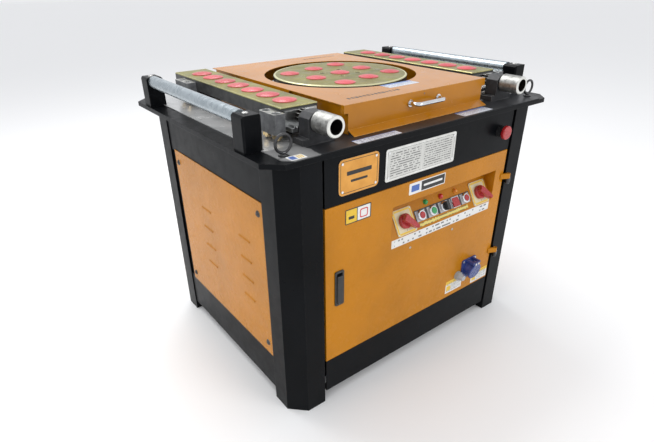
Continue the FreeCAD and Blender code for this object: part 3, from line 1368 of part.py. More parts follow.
def door_latch():
    """Black pull latch: a paddle that swings out about a pin near its top."""
    y = SKIN_Y
    x0 = LATCH_X - LATCH_HALF
    x1 = LATCH_X + LATCH_HALF
    paddle = block(x0, x1, y - 7.0, y - 1.0, LATCH_Z - 42, LATCH_Z + 38)
    paddle = rounded(paddle, 2.5, lambda edge: edge.CenterOfMass.y < y - 6.9)
    arm = block(x0, x1, y - 2.0, y + LATCH_PIVOT_DEPTH + 3.0, LATCH_PIVOT_Z - 3.0, LATCH_PIVOT_Z + 3.0)
    reach = LATCH_HALF + 1.8
    pivot = rod(2.5, 2 * reach, LATCH_X - reach, y + LATCH_PIVOT_DEPTH, LATCH_PIVOT_Z, X_AXIS)
    return join([paddle, arm, pivot])


LATCH_PIVOT_DEPTH = 5.0
LATCH_PIVOT_Z = LATCH_Z + 34.0


def latch_frame():
    """Frame of the latch, set in the door, with the holes of its pivot."""
    y = SKIN_Y
    rim, wall, clear = (LATCH_HALF + extra for extra in (5.6, 2.4, 0.4))
    plate = block(LATCH_X - rim, LATCH_X + rim, y - 3.0, y, LATCH_Z - 52, LATCH_Z + 52)
    plate = rounded(plate, 5.0, lambda edge: is_along(edge, Y_AXIS))
    box = block(LATCH_X - wall, LATCH_X + wall, y - 0.1, y + 14, LATCH_Z - 47.8, LATCH_Z + 47.8)
    hollow = block(LATCH_X - clear, LATCH_X + clear, y - 4, y + 12, LATCH_Z - 45, LATCH_Z + 45.5)
    holes = rod(2.56, 40, LATCH_X - 20, y + LATCH_PIVOT_DEPTH, LATCH_PIVOT_Z, X_AXIS)
    return join([plate, box]).cut([hollow, holes])


def power_inlet():
    """Blue panel inlet: a square flange and a barrel that leans down, with three pins."""
    y = SKIN_Y
    flange = block(INLET_X - 34, INLET_X + 34, y - 4, y, INLET_Z - 36, INLET_Z + 36)
    flange = rounded(flange, 7.0, lambda edge: is_along(edge, Y_AXIS))
    axis = inlet_axis()
    start = Vector(INLET_X, y + 1, INLET_Z + 3)
    barrel = Part.makeCylinder(27.0, INLET_BARREL, start, axis)
    back = Part.makeCylinder(22.0, 30.0, Vector(INLET_X, y - 1, INLET_Z), Y_AXIS)
    body = join([flange, barrel.cut(block(0, 400, y + 0.0, y + 60, 0, 500)), back])
    well = Part.makeCylinder(23.5, INLET_BARREL, start + axis * 4.0, axis)
    body = body.cut(well)
    pins = []
    across = axis.cross(X_AXIS)
    for i in range(3):
        angle = math.radians(90 + 120 * i)
        offset = X_AXIS * (12 * math.cos(angle)) + across * (12 * math.sin(angle))
        pins.append(Part.makeCylinder(2.4, INLET_BARREL - 7.0, start + axis * 3.0 + offset, axis))
    ears = []
    for x in (INLET_X - 17, INLET_X + 11):
        ears.append(block(x, x + 6, FLAP_HINGE_Y - 4.0, y - 3, FLAP_HINGE_Z - 4, FLAP_HINGE_Z + 4))
    pin_hole = rod(2.56, 60, INLET_X - 30, FLAP_HINGE_Y, FLAP_HINGE_Z, X_AXIS)
    return join([body] + pins + ears).cut(pin_hole)


INLET_LEAN = 10.0
INLET_BARREL = 26.0
FLAP_HINGE_Y = SKIN_Y - 29.5
FLAP_HINGE_Z = INLET_Z + 31.0


def inlet_axis():
    """Direction in which the inlet's barrel opens: forwards and a little down."""
    lean = math.radians(INLET_LEAN)
    return Vector(0, -math.cos(lean), -math.sin(lean))


def inlet_flap():
    """Spring lid of the inlet, hinged at its top."""
    axis = inlet_axis()
    start = Vector(INLET_X, SKIN_Y + 1, INLET_Z + 3) + axis * (INLET_BARREL + 0.4)
    thickness = 6.0
    lid = Part.makeCylinder(28.0, thickness, start, axis)
    lid = bevelled(lid, 1.5, lambda edge: edge.Curve.TypeId == "Part::GeomCircle"
                   and (edge.Curve.Center - start).dot(axis) > thickness - 0.1)
    arm = block(INLET_X - 10.5, INLET_X + 10.5, FLAP_HINGE_Y - 5, FLAP_HINGE_Y + 3.0,
                FLAP_HINGE_Z - 3.5, FLAP_HINGE_Z + 3.0)
    web = block(INLET_X - 10.5, INLET_X + 10.5, FLAP_HINGE_Y - 5, FLAP_HINGE_Y - 1.5,
                FLAP_HINGE_Z - 10, FLAP_HINGE_Z)
    pivot = rod(2.5, 33.0, INLET_X - 16.5, FLAP_HINGE_Y, FLAP_HINGE_Z, X_AXIS)
    return join([lid, arm, web, pivot])


def cable_gland():
    """Grey cable gland beside the inlet, closed with a domed plug."""
    y = SKIN_Y
    nut = hexagon(26.0, 9.0, 0, 0, 0)
    nut.rotate(Vector(0, 0, 0), X_AXIS, 90)
    nut.translate(Vector(GLAND_X, y - 3, GLAND_Z))
    washer = rod(14.5, 3.0, GLAND_X, y - 3, GLAND_Z, Y_AXIS)
    dome = Part.makeCone(12.5, 8.5, 16.0, Vector(GLAND_X, y - 11, GLAND_Z), Vector(0, -1, 0))
    thread = rod(10.0, 20.0, GLAND_X, y - 4, GLAND_Z, Y_AXIS)
    lock_nut = ring(14.0, 9.9, 5.0, GLAND_X, y + THIN_SHEET, GLAND_Z, Y_AXIS)
    return join([nut, washer, dome, thread, lock_nut])


def name_plates():
    """Two blank plates on the header, each held by four screws."""
    plates = []
    for x0, x1, z0, z1, corner in ((-310.0, -187.0, 620.0, 708.0, 12.0), (-164.0, 93.0, 619.0, 703.0, 6.0)):
        plate = block(x0, x1, SKIN_Y - 1.5, SKIN_Y, z0, z1)
        plate = rounded(plate, corner, lambda edge: is_along(edge, Y_AXIS))
        screws = []
        for x in (x0 + 10, x1 - 10):
            for z in (z0 + 10, z1 - 10):
                screws.append(rod(3.2, 1.5, x, SKIN_Y - 3.0, z, Y_AXIS))
        plates.append(join([plate] + screws))
    return group(plates)


def emergency_stop_collar():
    """Black collar and contact block of the emergency stop."""
    y = SKIN_Y
    collar = rod(17.0, 13.0, STOP_X, y - 13.0, STOP_Z, Y_AXIS)
    barrel = rod(BODY_HOLE - 0.1, 34.0, STOP_X, y - 2, STOP_Z, Y_AXIS)
    contacts = block(STOP_X - 15, STOP_X + 15, y + 30, y + 66, STOP_Z - 20, STOP_Z + 20)
    well = rod(8.5, 24.0, STOP_X, y - 14.0, STOP_Z, Y_AXIS)
    return join([collar, barrel, contacts]).cut(well)


def emergency_stop_button():
    """Red mushroom head with its stem."""
    y = SKIN_Y
    disc = rod(20.0, 9.0, STOP_X, y - 28.0, STOP_Z, Y_AXIS)
    disc = rounded(disc, 3.5, lambda edge: is_circle_at(edge, y - 28.0, 20.0, "y"))
    stem = rod(8.0, 22.0, STOP_X, y - 21.0, STOP_Z, Y_AXIS)
    return join([disc, stem])


# ---- assembly --------------------------------------------------------------------
def build_frame():
    """Everything that stands still."""
    PARTS["corner_posts"] = corner_posts()
    PARTS["front_header"] = front_header()
    PARTS["frame_rails"] = frame_rails()
    PARTS["access_panels"] = access_panels()
    PARTS["panel_bolts"] = panel_bolts()
    PARTS["base_frame"] = base_frame()
    PARTS["table_top"] = table_top()
    PARTS["table_wear_sheet"] = table_wear_sheet()
    PARTS["roller_brackets"] = roller_brackets()
    PARTS["lifting_eyes"] = lifting_eyes()
    PARTS["name_plates"] = name_plates()
    PARTS["emergency_stop_collar"] = emergency_stop_collar()
    PARTS["bar_slide_blocks"] = slide_blocks()
    PARTS["adjuster_housings"] = adjuster_housings()
    PARTS["gearbox_housing"] = gearbox_housing()
    PARTS["gearbox_cover"] = gearbox_cover()
    PARTS["shaft_bearings"] = shaft_bearings()
    PARTS["motor"] = motor()
    PARTS["drive_belts"] = drive_belts()
    PARTS["electrical_box"] = electrical_box()
    PARTS["hinge_pins"] = hinge_pins()


def build_drive():
    """The disc and every shaft that turns with it."""
    PARTS["bending_disc"] = bending_disc()
    PARTS["disc_caps"] = disc_caps()
    PARTS["disc_bolts"] = disc_bolts()
    PARTS["stop_ring"] = stop_ring()
    PARTS["main_shaft"] = main_shaft()
    PARTS["output_gear"] = output_gear()
    PARTS["countershaft"] = countershaft()
    PARTS["input_shaft"] = input_shaft()
    PARTS["input_pulley"] = input_pulley()
    PARTS["motor_pulley"] = motor_pulley()


def build_sides():
    """Rollers, pin bars and adjusters, left and right."""
    for name, side in SIDES:
        PARTS["roller_" + name] = roller(side)
        PARTS["pin_bar_" + name] = pin_bar(side)
        PARTS["bar_caps_" + name] = bar_caps(side)
        PARTS["bar_lugs_" + name] = bar_lugs(side)
        PARTS["adjuster_" + name] = adjuster(side)
        PARTS["rotary_switch_" + name] = rotary_switch(side)


def build_cover_and_door():
    """The hinged cover, the door and what is mounted on them."""
    PARTS["top_cover"] = top_cover()
    PARTS["cover_handle"] = cover_handle()
    PARTS["door"] = door()
    PARTS["switch_plates"] = switch_plates()
    PARTS["switch_bezels"] = switch_bezels()
    PARTS["indicator_lamps"] = indicator_lamps()
    PARTS["latch_frame"] = latch_frame()
    PARTS["door_latch"] = door_latch()
    PARTS["power_inlet"] = power_inlet()
    PARTS["inlet_flap"] = inlet_flap()
    PARTS["cable_gland"] = cable_gland()
    PARTS["emergency_stop_button"] = emergency_stop_button()
    for index, name in enumerate(SWITCH_NAMES):
        if name.startswith("button"):
            PARTS[name] = push_button(index)
    PARTS["selector_switch"] = selector_switch(SWITCH_NAMES.index("selector_switch"))
    PARTS["rocker_switch"] = rocker_switch(SWITCH_NAMES.index("rocker_switch"))


def main():
    """Builds every part and writes one STEP file each."""
    build_frame()
    build_drive()
    build_sides()
    build_cover_and_door()
    os.makedirs("parts", exist_ok=True)
    whole = FreeCAD.BoundBox()
    for name, shape in PARTS.items():
        whole.add(shape.BoundBox)
        if not shape.isValid():
            print("not valid:", name)
        shape.exportStep("parts/" + name + ".step")
    print(len(PARTS), "parts; box", whole)


main()
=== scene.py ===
import math
import random

import bmesh
import bpy
from mathutils import Matrix, Quaternion, Vector


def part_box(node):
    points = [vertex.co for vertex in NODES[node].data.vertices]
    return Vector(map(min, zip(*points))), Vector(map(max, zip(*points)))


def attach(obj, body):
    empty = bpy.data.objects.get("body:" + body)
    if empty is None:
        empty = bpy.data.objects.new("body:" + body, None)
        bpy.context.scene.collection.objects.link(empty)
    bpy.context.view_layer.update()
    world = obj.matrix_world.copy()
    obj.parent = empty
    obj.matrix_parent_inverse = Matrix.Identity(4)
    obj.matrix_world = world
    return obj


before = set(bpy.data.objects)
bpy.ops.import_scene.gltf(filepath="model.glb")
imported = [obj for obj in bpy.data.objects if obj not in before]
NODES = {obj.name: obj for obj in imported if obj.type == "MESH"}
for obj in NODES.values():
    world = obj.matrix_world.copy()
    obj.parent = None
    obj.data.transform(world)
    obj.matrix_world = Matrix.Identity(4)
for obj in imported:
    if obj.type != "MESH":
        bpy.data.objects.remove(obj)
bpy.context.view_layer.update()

# ---- places taken from the CAD model, in metres ------------------------------------
DISC_LOW, DISC_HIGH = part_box("bending_disc")
DISC_CENTRE = ((DISC_LOW[0] + DISC_HIGH[0]) / 2, (DISC_LOW[1] + DISC_HIGH[1]) / 2)
DISC_TOP = DISC_HIGH[2]
DISC_RADIUS = (DISC_HIGH[0] - DISC_LOW[0]) / 2
DOOR_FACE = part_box("front_header")[0][1]
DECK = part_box("table_wear_sheet")[1][2]
COVER_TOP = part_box("top_cover")[1][2]
HANDLE_FEET = 0.005
COVER_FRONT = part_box("cover_handle")[1][1] - HANDLE_FEET
BAR_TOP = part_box("pin_bar_left")[1][2]
BARS_X = [(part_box(n)[0][0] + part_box(n)[1][0]) / 2 for n in ("pin_bar_left", "pin_bar_right")]
SLEEVE_Z = (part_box("adjuster_left")[0][2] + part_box("adjuster_left")[1][2]) / 2
PAN_FOOT = Vector((0.0, DOOR_FACE, 0.444))
PAN_TILT = math.radians(30.0)
CONTROLS_X = 0.097
SWITCH_PITCH = 0.048
SWITCH_ROW = 0.035
PLATE_PLACES = (("left", -0.065), ("right", 0.259))
PLATE_ROW = 0.036
PLATE_FACE = 0.003

# ---- limits between finishes on one node, each as (from, to) in metres ---------------
LUG_GROUND_TOP = (0.8055, 0.8059)
STUD_TOP = (0.7600, 0.7597)
RACK_SIDE = (0.0505, 0.0500)
SHEET_DARK_REFLECTION_FRONT = (-0.2960, -0.2980)
SHEET_DARK_REFLECTION_SIDE = (-0.3720, -0.3700)
SLEEVE_MOUTH = (-0.3835, -0.3845)
BORE_WALL = (0.0172, 0.0170)
BORE_START = (-0.3858, -0.3853)
GREEN_TO_RED_LAMP = (0.0649, 0.0651)
RED_TO_AMBER_LAMP = (0.1289, 0.1291)
HEADER_PLATE_GAP = (-0.1756, -0.1754)


# ---- shader helpers -------------------------------------------------------------------
class Shade:
    """A material's node tree, with short calls for the nodes used here."""

    def __init__(self, name, metallic=0.0, **constants):
        self.material = bpy.data.materials.new(name)
        self.material.use_nodes = True
        tree = self.material.node_tree
        self.nodes = tree.nodes
        self.links = tree.links
        self.shader = self.nodes["Principled BSDF"]
        self.shader.inputs["Metallic"].default_value = metallic
        for key, value in constants.items():
            self.shader.inputs[key.replace("_", " ")].default_value = value
        self.place = self.nodes.new("ShaderNodeTexCoord").outputs["Object"]

    def feed(self, socket, value):
        """Links a socket, or sets a constant."""
        if hasattr(value, "is_linked"):
            self.links.new(value, socket)
        else:
            socket.default_value = value

    def math(self, operation, a, b=0.0, clamp=False):
        node = self.nodes.new("ShaderNodeMath")
        node.operation = operation
        node.use_clamp = clamp
        for socket, value in zip(node.inputs, (a, b)):
            self.feed(socket, value)
        return node.outputs[0]

    def axes(self, vector=None):
        node = self.nodes.new("ShaderNodeSeparateXYZ")
        self.feed(node.inputs[0], self.place if vector is None else vector)
        return node.outputs

    def stretched(self, scale):
        node = self.nodes.new("ShaderNodeMapping")
        self.links.new(self.place, node.inputs["Vector"])
        node.inputs["Scale"].default_value = scale
        return node.outputs[0]

    def noise(self, scale, detail=3.0, roughness=0.55, stretch=(1, 1, 1), distortion=0.0):
        node = self.nodes.new("ShaderNodeTexNoise")
        self.links.new(self.stretched(stretch), node.inputs["Vector"])
        node.inputs["Scale"].default_value = scale
        node.inputs["Detail"].default_value = detail
        node.inputs["Roughness"].default_value = roughness
        node.inputs["Distortion"].default_value = distortion
        return node.outputs["Fac"]

    def cells(self, scale):
        node = self.nodes.new("ShaderNodeTexVoronoi")
        self.links.new(self.place, node.inputs["Vector"])
        node.inputs["Scale"].default_value = scale
        return node.outputs["Color"]

    def band(self, value, low, high, to_low=0.0, to_high=1.0):
        """Rescales value from low..high to to_low..to_high, held at both ends."""
        node = self.nodes.new("ShaderNodeMapRange")
        self.feed(node.inputs["Value"], value)
        node.inputs["From Min"].default_value = low
        node.inputs["From Max"].default_value = high
        node.inputs["To Min"].default_value = to_low
        node.inputs["To Max"].default_value = to_high
        return node.outputs[0]

    def mix(self, amount, a, b):
        node = self.nodes.new("ShaderNodeMix")
        node.data_type = "RGBA"
        self.feed(node.inputs[0], amount)
        for index, value in ((6, a), (7, b)):
            if isinstance(value, tuple):
                value = (*value[:3], 1.0)
            self.feed(node.inputs[index], value)
        return node.outputs[2]

    def edge(self, radius, sharpness):
        """0 on flat surfaces and 1 along their edges."""
        bevel = self.nodes.new("ShaderNodeBevel")
        bevel.samples = 4
        bevel.inputs["Radius"].default_value = radius
        geometry = self.nodes.new("ShaderNodeNewGeometry")
        dot = self.nodes.new("ShaderNodeVectorMath")
        dot.operation = "DOT_PRODUCT"
        self.links.new(bevel.outputs[0], dot.inputs[0])
        self.links.new(geometry.outputs["Normal"], dot.inputs[1])
        turned = self.math("SUBTRACT", 1.0, dot.outputs["Value"])
        return self.math("MULTIPLY", turned, sharpness, clamp=True)

    def upward(self):
        """1 on surfaces that face up and 0 on upright ones."""
        geometry = self.nodes.new("ShaderNodeNewGeometry")
        return self.math("MAXIMUM", self.axes(geometry.outputs["Normal"])[2], 0.0)

    def relief(self, *layers, soft_edge=0.0):
        """Bump layers of (height, strength, distance), over a rounded edge normal."""
        normal = None
        if soft_edge:
            bevel = self.nodes.new("ShaderNodeBevel")
            bevel.samples = 4
            bevel.inputs["Radius"].default_value = soft_edge
            normal = bevel.outputs[0]
        for height, strength, distance in layers:
            bump = self.nodes.new("ShaderNodeBump")
            bump.inputs["Strength"].default_value = strength
            bump.inputs["Distance"].default_value = distance
            self.links.new(height, bump.inputs["Height"])
            if normal is not None:
                self.links.new(normal, bump.inputs["Normal"])
            normal = bump.outputs[0]
        self.links.new(normal, self.shader.inputs["Normal"])

    def finish(self, color, roughness, metallic=None):
        for key, value in (("Base Color", color), ("Roughness", roughness), ("Metallic", metallic)):
            if value is None:
                continue
            if isinstance(value, tuple):
                value = (*value[:3], 1.0)
            self.feed(self.shader.inputs[key], value)
        return self.material


# ---- materials ------------------------------------------------------------------------
def painted(name, color, worn, gloss=0.3, coat=0.0, cloud=0.12, wave=0.25, orange_peel=0.05,
            dust_amount=1.0, shine=0.5):
    """Sprayed paint: clouds, orange peel, wavy sheet, light scratches and worn edges."""
    s = Shade(name, Coat_Weight=coat, Coat_Roughness=0.12, Specular_IOR_Level=shine)
    cloud_noise = s.noise(5.0, 4.0, 0.6)
    darker = tuple(c * (1 - cloud) for c in color)
    lighter = tuple(min(1.0, c * (1 + cloud)) for c in color)
    base = s.mix(s.band(cloud_noise, 0.35, 0.65), darker, lighter)
    scratch = s.band(s.noise(40.0, 2.0, 0.7, stretch=(1.0, 1.0, 22.0)), 0.66, 0.72)
    dust = s.band(s.noise(90.0, 6.0, 0.75), 0.45, 0.8)
    dusty = s.math("MULTIPLY", dust, s.band(s.upward(), 0.2, 1.0, 0.05 * dust_amount, 0.22 * dust_amount))
    base = s.mix(dusty, base, (0.42, 0.40, 0.37))
    chips = s.band(s.noise(120.0, 5.0, 0.7), 0.42, 0.6)
    edge = s.math("MULTIPLY", s.edge(0.0022, 5.0), chips)
    base = s.mix(s.math("MULTIPLY", edge, 0.65), base, worn)
    rough = s.band(s.noise(28.0, 5.0, 0.65), 0.3, 0.75, gloss - 0.06, gloss + 0.12)
    rough = s.math("ADD", rough, s.math("MULTIPLY", scratch, 0.06))
    rough = s.math("ADD", rough, s.math("MULTIPLY", dusty, 0.5), clamp=True)
    s.relief((s.noise(2.4, 1.0, 0.4), wave, 0.02), (s.noise(700.0, 2.0, 0.5), orange_peel, 0.0006),
             (scratch, 0.02, 0.0004), soft_edge=0.0012)
    return s.finish(base, rough)


def cast_black():
    """Black paint over a sand-cast surface, rubbed bare on its edges."""
    s = Shade("black_cast_paint")
    grain = s.noise(420.0, 6.0, 0.7)
    lumps = s.noise(60.0, 4.0, 0.6)
    base = s.mix(s.band(lumps, 0.3, 0.7), (0.010, 0.011, 0.013), (0.032, 0.033, 0.036))
    bare = s.math("MULTIPLY", s.edge(0.002, 5.0), s.band(s.noise(150.0, 5.0, 0.7), 0.4, 0.6))
    base = s.mix(bare, base, (0.22, 0.22, 0.21))
    s.relief((lumps, 0.25, 0.002), (grain, 0.45, 0.0008), soft_edge=0.0016)
    return s.finish(base, s.band(grain, 0.3, 0.7, 0.38, 0.6), s.math("MULTIPLY", bare, 0.7))


def lug_metal():
    """Cast lugs with ground tops, gilt studs below them, and a bright rack under the bar."""
    s = Shade("lug_casting_and_studs")
    x, _, z = s.axes()
    grain = s.noise(380.0, 6.0, 0.7)
    lumps = s.noise(55.0, 4.0, 0.6)
    cast = s.mix(s.band(lumps, 0.3, 0.7), (0.07, 0.073, 0.078), (0.19, 0.195, 0.20))
    edge = s.math("MULTIPLY", s.edge(0.002, 6.0), s.band(grain, 0.35, 0.55))
    cast = s.mix(edge, cast, (0.42, 0.42, 0.40))
    ground = s.band(z, *LUG_GROUND_TOP)
    stain = s.band(s.noise(90.0, 5.0, 0.7), 0.35, 0.7)
    bright = s.mix(stain, (0.62, 0.62, 0.58), (0.30, 0.30, 0.29))
    gilt_tint = s.mix(s.band(s.noise(160.0, 4.0, 0.6), 0.3, 0.7), (0.78, 0.58, 0.26), (0.62, 0.50, 0.34))
    stud = s.band(z, *STUD_TOP)
    rack = 0.0
    for bar_x in BARS_X:
        beside = s.math("ABSOLUTE", s.math("SUBTRACT", x, bar_x))
        rack = s.math("ADD", rack, s.band(beside, *RACK_SIDE), clamp=True)
    base = s.mix(ground, cast, bright)
    base = s.mix(stud, base, gilt_tint)
    base = s.mix(rack, base, s.mix(stain, (0.66, 0.67, 0.66), (0.40, 0.41, 0.41)))
    metal = s.math("MAXIMUM", s.math("MAXIMUM", ground, stud), s.math("MAXIMUM", rack, edge))
    rough = s.mix(metal, (0.55, 0.55, 0.55), (0.28, 0.28, 0.28))
    s.relief((lumps, 0.3, 0.002), (grain, 0.4, 0.0008), soft_edge=0.0012)
    return s.finish(base, rough, metal)


def olive_top(name, top_z, rings):
    """Yellow-passivated working face over sides painted dark as shade, turned in rings or ground in lines.
    """
    s = Shade(name)
    x, y, z = s.axes()
    tint = s.noise(9.0, 5.0, 0.62, distortion=0.8)
    olive = s.mix(s.band(tint, 0.32, 0.68), (0.15, 0.135, 0.022), (0.33, 0.29, 0.060))
    rainbow = s.band(s.noise(21.0, 4.0, 0.6, distortion=1.2), 0.52, 0.72, 0.0, 0.5)
    olive = s.mix(rainbow, olive, (0.20, 0.25, 0.06))
    pale = s.band(s.noise(70.0, 5.0, 0.7), 0.55, 0.78, 0.0, 0.35)
    olive = s.mix(pale, olive, (0.50, 0.47, 0.20))
    edge = s.edge(0.003, 7.0)
    olive = s.mix(edge, olive, (0.80, 0.78, 0.50))
    if rings:
        dx = s.math("SUBTRACT", x, DISC_CENTRE[0])
        dy = s.math("SUBTRACT", y, DISC_CENTRE[1])
        radius = s.math("SQRT", s.math("ADD", s.math("MULTIPLY", dx, dx), s.math("MULTIPLY", dy, dy)))
        lines = s.math("SINE", s.math("MULTIPLY", radius, 5200.0))
        rim = s.band(radius, DISC_RADIUS - 0.0065, DISC_RADIUS - 0.0055)
        olive = s.mix(s.math("MULTIPLY", rim, 0.75), olive, (0.80, 0.78, 0.48))
    else:
        lines = s.noise(60.0, 3.0, 0.6, stretch=(60.0, 1.0, 1.0))
    # The dark colour of the sides is painted shade, darker than the lit working face.
    side = s.mix(s.band(s.noise(45.0, 4.0, 0.6), 0.3, 0.7), (0.02, 0.021, 0.022), (0.06, 0.06, 0.058))
    face = s.band(z, top_z - 0.0034, top_z - 0.0030)
    base = s.mix(face, side, olive)
    rough = s.band(s.noise(33.0, 5.0, 0.65), 0.3, 0.7, 0.26, 0.46)
    s.relief((lines, 0.10, 0.0003), (s.noise(300.0, 4.0, 0.6), 0.12, 0.0004), soft_edge=0.0012)
    return s.finish(base, rough, s.band(face, 0.0, 1.0, 0.15, 0.72))


def steel(name, dark, light, rough, stretch=(1, 1, 1), scale=60.0, bump=0.12, metallic=1.0, edge_tint=None):
    """Bare or plated steel, with lines along one direction and stains."""
    s = Shade(name, metallic)
    stain = s.band(s.noise(24.0, 6.0, 0.7, distortion=0.5), 0.32, 0.7)
    base = s.mix(stain, dark, light)
    if edge_tint:
        base = s.mix(s.edge(0.0015, 6.0), base, edge_tint)
    lines = s.noise(scale, 3.0, 0.6, stretch=stretch)
    s.relief((lines, bump, 0.0004), (s.noise(500.0, 3.0, 0.6), bump * 0.6, 0.0003), soft_edge=0.0006)
    return s.finish(base, s.band(s.noise(45.0, 5.0, 0.65), 0.3, 0.72, rough - 0.08, rough + 0.12))


def galvanised():
    """Zinc tube with crystal spangles and handling marks."""
    s = Shade("galvanised_tube", 0.85)
    spangle = s.axes(s.cells(95.0))[0]
    base = s.mix(spangle, (0.32, 0.37, 0.40), (0.41, 0.46, 0.49))
    marks = s.band(s.noise(26.0, 6.0, 0.7, stretch=(1, 0.25, 1)), 0.55, 0.75, 0.0, 0.35)
    base = s.mix(marks, base, (0.27, 0.30, 0.33))
    rough = s.band(spangle, 0.0, 1.0, 0.24, 0.34)
    s.relief((spangle, 0.02, 0.0003), (s.noise(260.0, 4.0, 0.6), 0.12, 0.0004), soft_edge=0.0008)
    return s.finish(base, rough)


def ground_sheet():
    """Table sheet: ground steel with fine lines and oil stains, and near-black along the front as a painted
    dark reflection.
    """
    s = Shade("ground_table_sheet")
    stain = s.noise(7.0, 6.0, 0.66, distortion=0.7)
    base = s.mix(s.band(stain, 0.35, 0.66), (0.50, 0.51, 0.51), (0.68, 0.68, 0.67))
    spots = s.band(s.noise(55.0, 5.0, 0.7), 0.62, 0.76, 0.0, 0.6)
    base = s.mix(spots, base, (0.10, 0.09, 0.075))
    lines = s.noise(50.0, 2.0, 0.6, stretch=(1.0, 70.0, 1.0))
    rough = s.math("ADD", s.band(stain, 0.3, 0.7, 0.18, 0.32), s.math("MULTIPLY", spots, 0.25))
    x, y, _ = s.axes()
    # Along the front the sheet is made near-black, rougher and non-metallic as a painted dark reflection,
    # with a ragged edge.
    ragged = s.band(s.noise(30.0, 5.0, 0.7), 0.3, 0.7, -0.004, 0.004)
    front = s.band(s.math("ADD", y, ragged), *SHEET_DARK_REFLECTION_FRONT)
    painted_dark_reflection = s.math("MULTIPLY", front, s.band(s.math("ADD", x, ragged), *SHEET_DARK_REFLECTION_SIDE, 0.7, 1.0))
    base = s.mix(painted_dark_reflection, base, (0.010, 0.011, 0.013))
    rough = s.math("ADD", rough, s.math("MULTIPLY", painted_dark_reflection, 0.16))
    s.relief((lines, 0.07, 0.0003), (s.noise(3.0, 1.0, 0.4), 0.1, 0.01), soft_edge=0.0006)
    return s.finish(base, rough, s.band(painted_dark_reflection, 0.0, 1.0, 0.45, 0.0))


def sleeve_metal():
    """Rough-turned sleeve with a bright mouth, and a bore painted near-black as shade."""
    s = Shade("sleeve_steel", 0.9)
    x, y, z = s.axes()
    lines = s.math("SINE", s.math("MULTIPLY", y, 7000.0))
    mottle = s.noise(85.0, 6.0, 0.75)
    base = s.mix(s.band(mottle, 0.36, 0.66), (0.20, 0.20, 0.19), (0.50, 0.50, 0.475))
    mouth = s.band(y, *SLEEVE_MOUTH)
    base = s.mix(mouth, base, (0.74, 0.74, 0.70))
    up = s.math("SUBTRACT", z, SLEEVE_Z)
    across = s.math("MINIMUM", s.math("ABSOLUTE", s.math("SUBTRACT", x, BARS_X[0])),
                    s.math("ABSOLUTE", s.math("SUBTRACT", x, BARS_X[1])))
    radius = s.math("SQRT", s.math("ADD", s.math("MULTIPLY", up, up), s.math("MULTIPLY", across, across)))
    # Inside the bore the colour is painted shade: near-black over the mottle.
    inside = s.math("MULTIPLY", s.band(radius, *BORE_WALL), s.band(y, *BORE_START))
    painted_bore_shade = s.mix(s.band(mottle, 0.4, 0.7), (0.012, 0.011, 0.010), (0.05, 0.042, 0.035))
    base = s.mix(inside, base, painted_bore_shade)
    rough = s.math("ADD", s.band(mottle, 0.3, 0.7, 0.3, 0.5), s.math("MULTIPLY", inside, 0.2), clamp=True)
    s.relief((lines, 0.08, 0.0003), (mottle, 0.22, 0.0008), soft_edge=0.0008)
    return s.finish(base, rough)


def moulded(name, color, gloss=0.28, grain=0.08, **constants):
    """Moulded plastic: faint flow marks, fine grain and rubbed edges."""
    s = Shade(name, **constants)
    flow = s.noise(30.0, 4.0, 0.6)
    darker = tuple(c * 0.9 for c in color)
    lighter = tuple(min(1.0, c * 1.1 + 0.01) for c in color)
    base = s.mix(s.band(flow, 0.3, 0.7), darker, lighter)
    dust = s.band(s.noise(240.0, 6.0, 0.75), 0.55, 0.8, 0.0, 0.12)
    base = s.mix(dust, base, (0.55, 0.52, 0.48))
    rubbed = tuple(min(1.0, c * 1.3 + 0.03) for c in color)
    base = s.mix(s.math("MULTIPLY", s.edge(0.0008, 5.0), 0.5), base, rubbed)
    rough = s.band(s.noise(130.0, 5.0, 0.65), 0.3, 0.75, gloss - 0.05, gloss + 0.13)
    s.relief((s.noise(900.0, 2.0, 0.5), grain, 0.0003), (flow, 0.05, 0.001), soft_edge=0.0007)
    return s.finish(base, rough)


def cap_plastic():
    """Red dust caps: each a little different, scuffed on its dome."""
    s = Shade("cap_plastic", Coat_Weight=0.25, Coat_Roughness=0.2)
    each = s.noise(11.0, 0.0, 0.5)
    base = s.mix(s.band(each, 0.3, 0.7), (0.48, 0.026, 0.036), (0.66, 0.050, 0.068))
    scuff = s.band(s.noise(170.0, 6.0, 0.75), 0.52, 0.75, 0.0, 0.28)
    base = s.mix(scuff, base, (0.86, 0.40, 0.40))
    base = s.mix(s.math("MULTIPLY", s.edge(0.0012, 5.0), 0.5), base, (0.9, 0.36, 0.38))
    rough = s.band(s.noise(90.0, 5.0, 0.65), 0.3, 0.75, 0.26, 0.48)
    s.relief((s.noise(620.0, 3.0, 0.6), 0.12, 0.0004), soft_edge=0.0008)
    return s.finish(base, rough)


def lamp_lenses():
    """Green, red and amber lenses, told apart by where they stand."""
    s = Shade("lamp_lenses", Transmission_Weight=0.25, IOR=1.49, Coat_Weight=0.5)
    x = s.axes()[0]
    color = s.mix(s.band(x, *GREEN_TO_RED_LAMP), (0.03, 0.42, 0.11), (0.68, 0.03, 0.03))
    color = s.mix(s.band(x, *RED_TO_AMBER_LAMP), color, (0.85, 0.30, 0.03))
    ribs = s.noise(500.0, 2.0, 0.5)
    s.relief((ribs, 0.12, 0.0004), soft_edge=0.0005)
    return s.finish(color, s.band(ribs, 0.3, 0.7, 0.14, 0.3))


